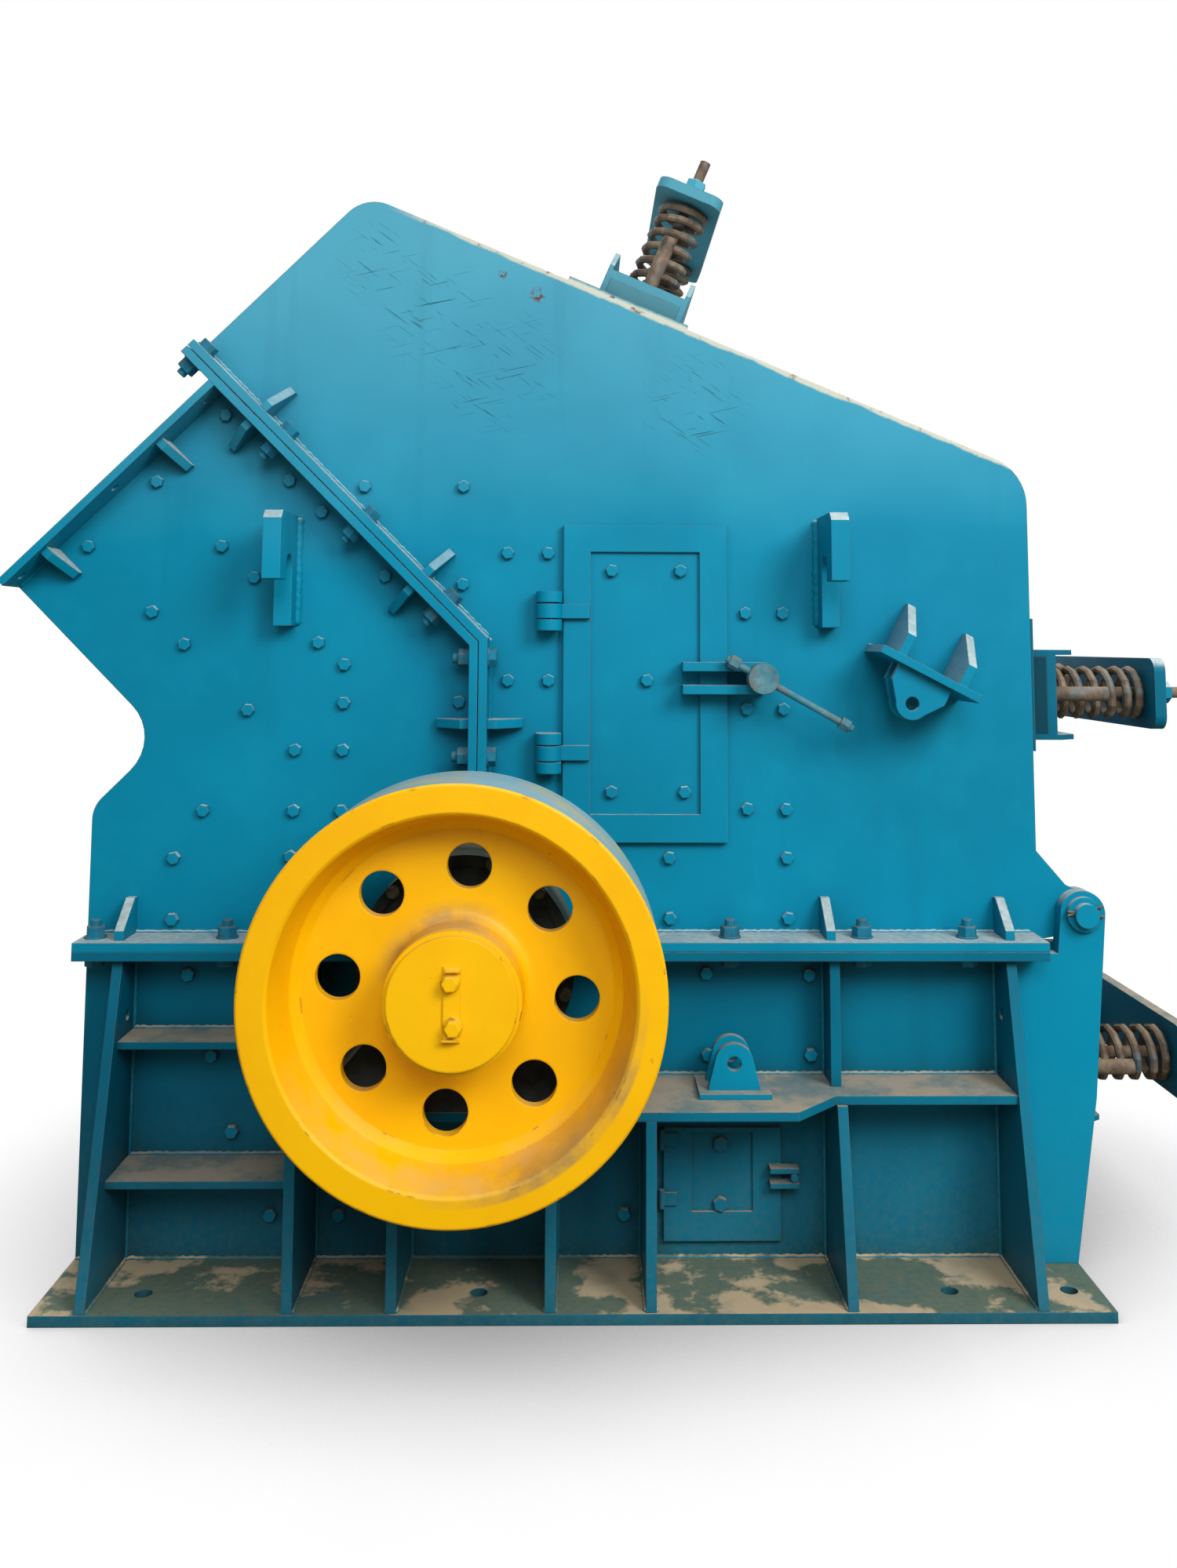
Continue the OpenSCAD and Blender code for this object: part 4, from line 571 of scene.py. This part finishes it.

# Welds, painted shade on the channel ends, and nuts of the spring units: Z of each unit stands out of the
# hull
CAP = (0.028, 0.074)
UNITS = {
    "rear_housing": [Matrix.Translation(ROOF_UNIT) @ Matrix.Rotation(ROOF_ANGLE, 4, "Y"),
                     Matrix.Translation((WALL_X, 0, 1.366)) @ Matrix.Rotation(math.pi / 2, 4, "Y")],
    "frame": [Matrix.Translation((WALL_X + 0.036, 0, 0.413)) @ Matrix.Rotation(math.pi / 2, 4, "Y")],
}
for body, units in UNITS.items():
    for m in units:
        for x in (-0.195, 0.14):
            bead(welds, body, TEAL, m @ Vector((x, -0.53, 0)), m @ Vector((x, 0.53, 0)))
        for x in (-0.1155, -0.1025, 0.1025, 0.1155):
            bead(welds, body, TEAL, m @ Vector((x, -0.475, 0.022)), m @ Vector((x, 0.475, 0.022)))
        for s in BOTH:
            # Painted shade: a dark plate standing just proud of each channel end, under its web, where the
            # shade falls
            spots = [(a * 0.0995, s * (0.475 + c), h) for a in BOTH for c in (-0.002, 0.001) for h in CAP]
            end = [m @ Vector(spot) for spot in spots]
            bolts.add(body, PAINTED_SHADE_TEAL, end, BOX_FACES)
            bead(welds, body, TEAL, m @ Vector((-0.195, s * 0.53, 0)), m @ Vector((0.14, s * 0.53, 0)))
            out = m.to_3x3() @ Vector((0, 0, 1))
            for h in (0.4205, 0.4495):
                bolt(bolts, body, m @ Vector((0, s * 0.268, h)), out, 0.051, 0.03, TEAL, False)

bolts.make("bolts")
welds.make("welds")

# Stage, light and camera
me = bpy.data.meshes.new("floor")
me.from_pydata([(-12, -8, 0), (12, -8, 0), (12, 14, 0), (-12, 14, 0)], [], [(0, 1, 2, 3)])
floor = bpy.data.objects.new("floor", me)
bpy.context.scene.collection.objects.link(floor)
floor_mat = bpy.data.materials.new("floor")
floor_mat.use_nodes = True
ground = floor_mat.node_tree
plain = ground.nodes["Principled BSDF"]
plain.inputs["Base Color"].default_value = (0.18, 0.14, 0.09, 1)
plain.inputs["Roughness"].default_value = 0.9
# Seen by the camera the floor glows white, darkened near the machine by ambient occlusion as a painted
# contact shadow; other rays see a dark brown floor
shade = ground.nodes.new("ShaderNodeAmbientOcclusion")
shade.inputs["Distance"].default_value = 0.9
shade_level = ground.nodes.new("ShaderNodeMapRange")
shade_level.inputs["From Min"].default_value = 0.1
shade_level.inputs["From Max"].default_value = 0.85
shade_level.inputs["To Min"].default_value = 0.15
ground.links.new(shade.outputs["AO"], shade_level.inputs["Value"])
glow = ground.nodes.new("ShaderNodeEmission")
ground.links.new(shade_level.outputs[0], glow.inputs["Strength"])
floor_path = ground.nodes.new("ShaderNodeLightPath")
either = ground.nodes.new("ShaderNodeMixShader")
ground.links.new(floor_path.outputs["Is Camera Ray"], either.inputs[0])
ground.links.new(plain.outputs[0], either.inputs[1])
ground.links.new(glow.outputs[0], either.inputs[2])
ground.links.new(either.outputs[0], ground.nodes["Material Output"].inputs["Surface"])
me.materials.append(floor_mat)

scene = bpy.context.scene
scene.view_settings.view_transform = "Standard"
world = bpy.data.worlds.new("world")
scene.world = world
world.use_nodes = True
sky = world.node_tree
sky.nodes["Background"].inputs[0].default_value = (1, 1, 1, 1)
sky_path = sky.nodes.new("ShaderNodeLightPath")
sky_level = sky.nodes.new("ShaderNodeMapRange")
sky_level.inputs["To Min"].default_value = 0.46
sky_level.inputs["To Max"].default_value = 1.0
sky.links.new(sky_path.outputs["Is Camera Ray"], sky_level.inputs["Value"])
sky.links.new(sky_level.outputs[0], sky.nodes["Background"].inputs[1])


def area(name, place, target, size, watts, color=(1, 1, 1)):
    light = bpy.data.lights.new(name, "AREA")
    light.shape = "DISK"
    light.size = size
    light.energy = watts
    light.color = color
    o = bpy.data.objects.new(name, light)
    bpy.context.scene.collection.objects.link(o)
    o.location = place
    o.rotation_euler = (Vector(target) - Vector(place)).to_track_quat("-Z", "Y").to_euler()


area("key", (3.6, -5.2, 4.6), (0.2, 0, 1.3), 3.0, 335, (1, 0.98, 0.95))
area("sheen", (0.2, -6.5, 4.6), (0, 0, 2.2), 3.0, 190, (0.96, 0.98, 1))
area("far side", (-2.5, 6.0, 4.2), (0, 0, 1.3), 4.0, 200)
area("top", (0.5, 1.5, 6.5), (0.2, 0, 1.5), 4.0, 200)

# Camera solved from the photo: principal point and focal length in pixels
PHOTO_W, PHOTO_H = 1500, 1999
FOCAL_PX, CENTRE_X, CENTRE_Y = 1729.05, 763.46, 655.17
CAM_AT = Vector((0.0, -3.9944, 1.4915))
YAW, PITCH, ROLL = 0.01444, 0.09600, 0.00332
data = bpy.data.cameras.new("camera")
data.sensor_fit = "VERTICAL"
data.sensor_height = 36
data.lens = FOCAL_PX * 36 / PHOTO_H
data.shift_x = (PHOTO_W / 2 - CENTRE_X) / PHOTO_H
data.shift_y = (CENTRE_Y - PHOTO_H / 2) / PHOTO_H
data.clip_end = 60
cam = bpy.data.objects.new("camera", data)
scene.collection.objects.link(cam)
look = Vector((math.sin(YAW) * math.cos(PITCH), math.cos(YAW) * math.cos(PITCH), math.sin(PITCH)))
right0 = Vector((math.cos(YAW), -math.sin(YAW), 0))
up0 = right0.cross(look)
right = right0 * math.cos(ROLL) + up0 * math.sin(ROLL)
up = up0 * math.cos(ROLL) - right0 * math.sin(ROLL)
turn = Matrix((right, up, -look)).transposed()
cam.matrix_world = Matrix.Translation(CAM_AT) @ turn.to_4x4()
scene.camera = cam

bpy.context.view_layer.update()
shown = [o for o in bpy.data.objects if o.type == "MESH" and o is not floor]
{"cad_box_m": CAD_SIZE, "visual_box_m": box_of(shown)}
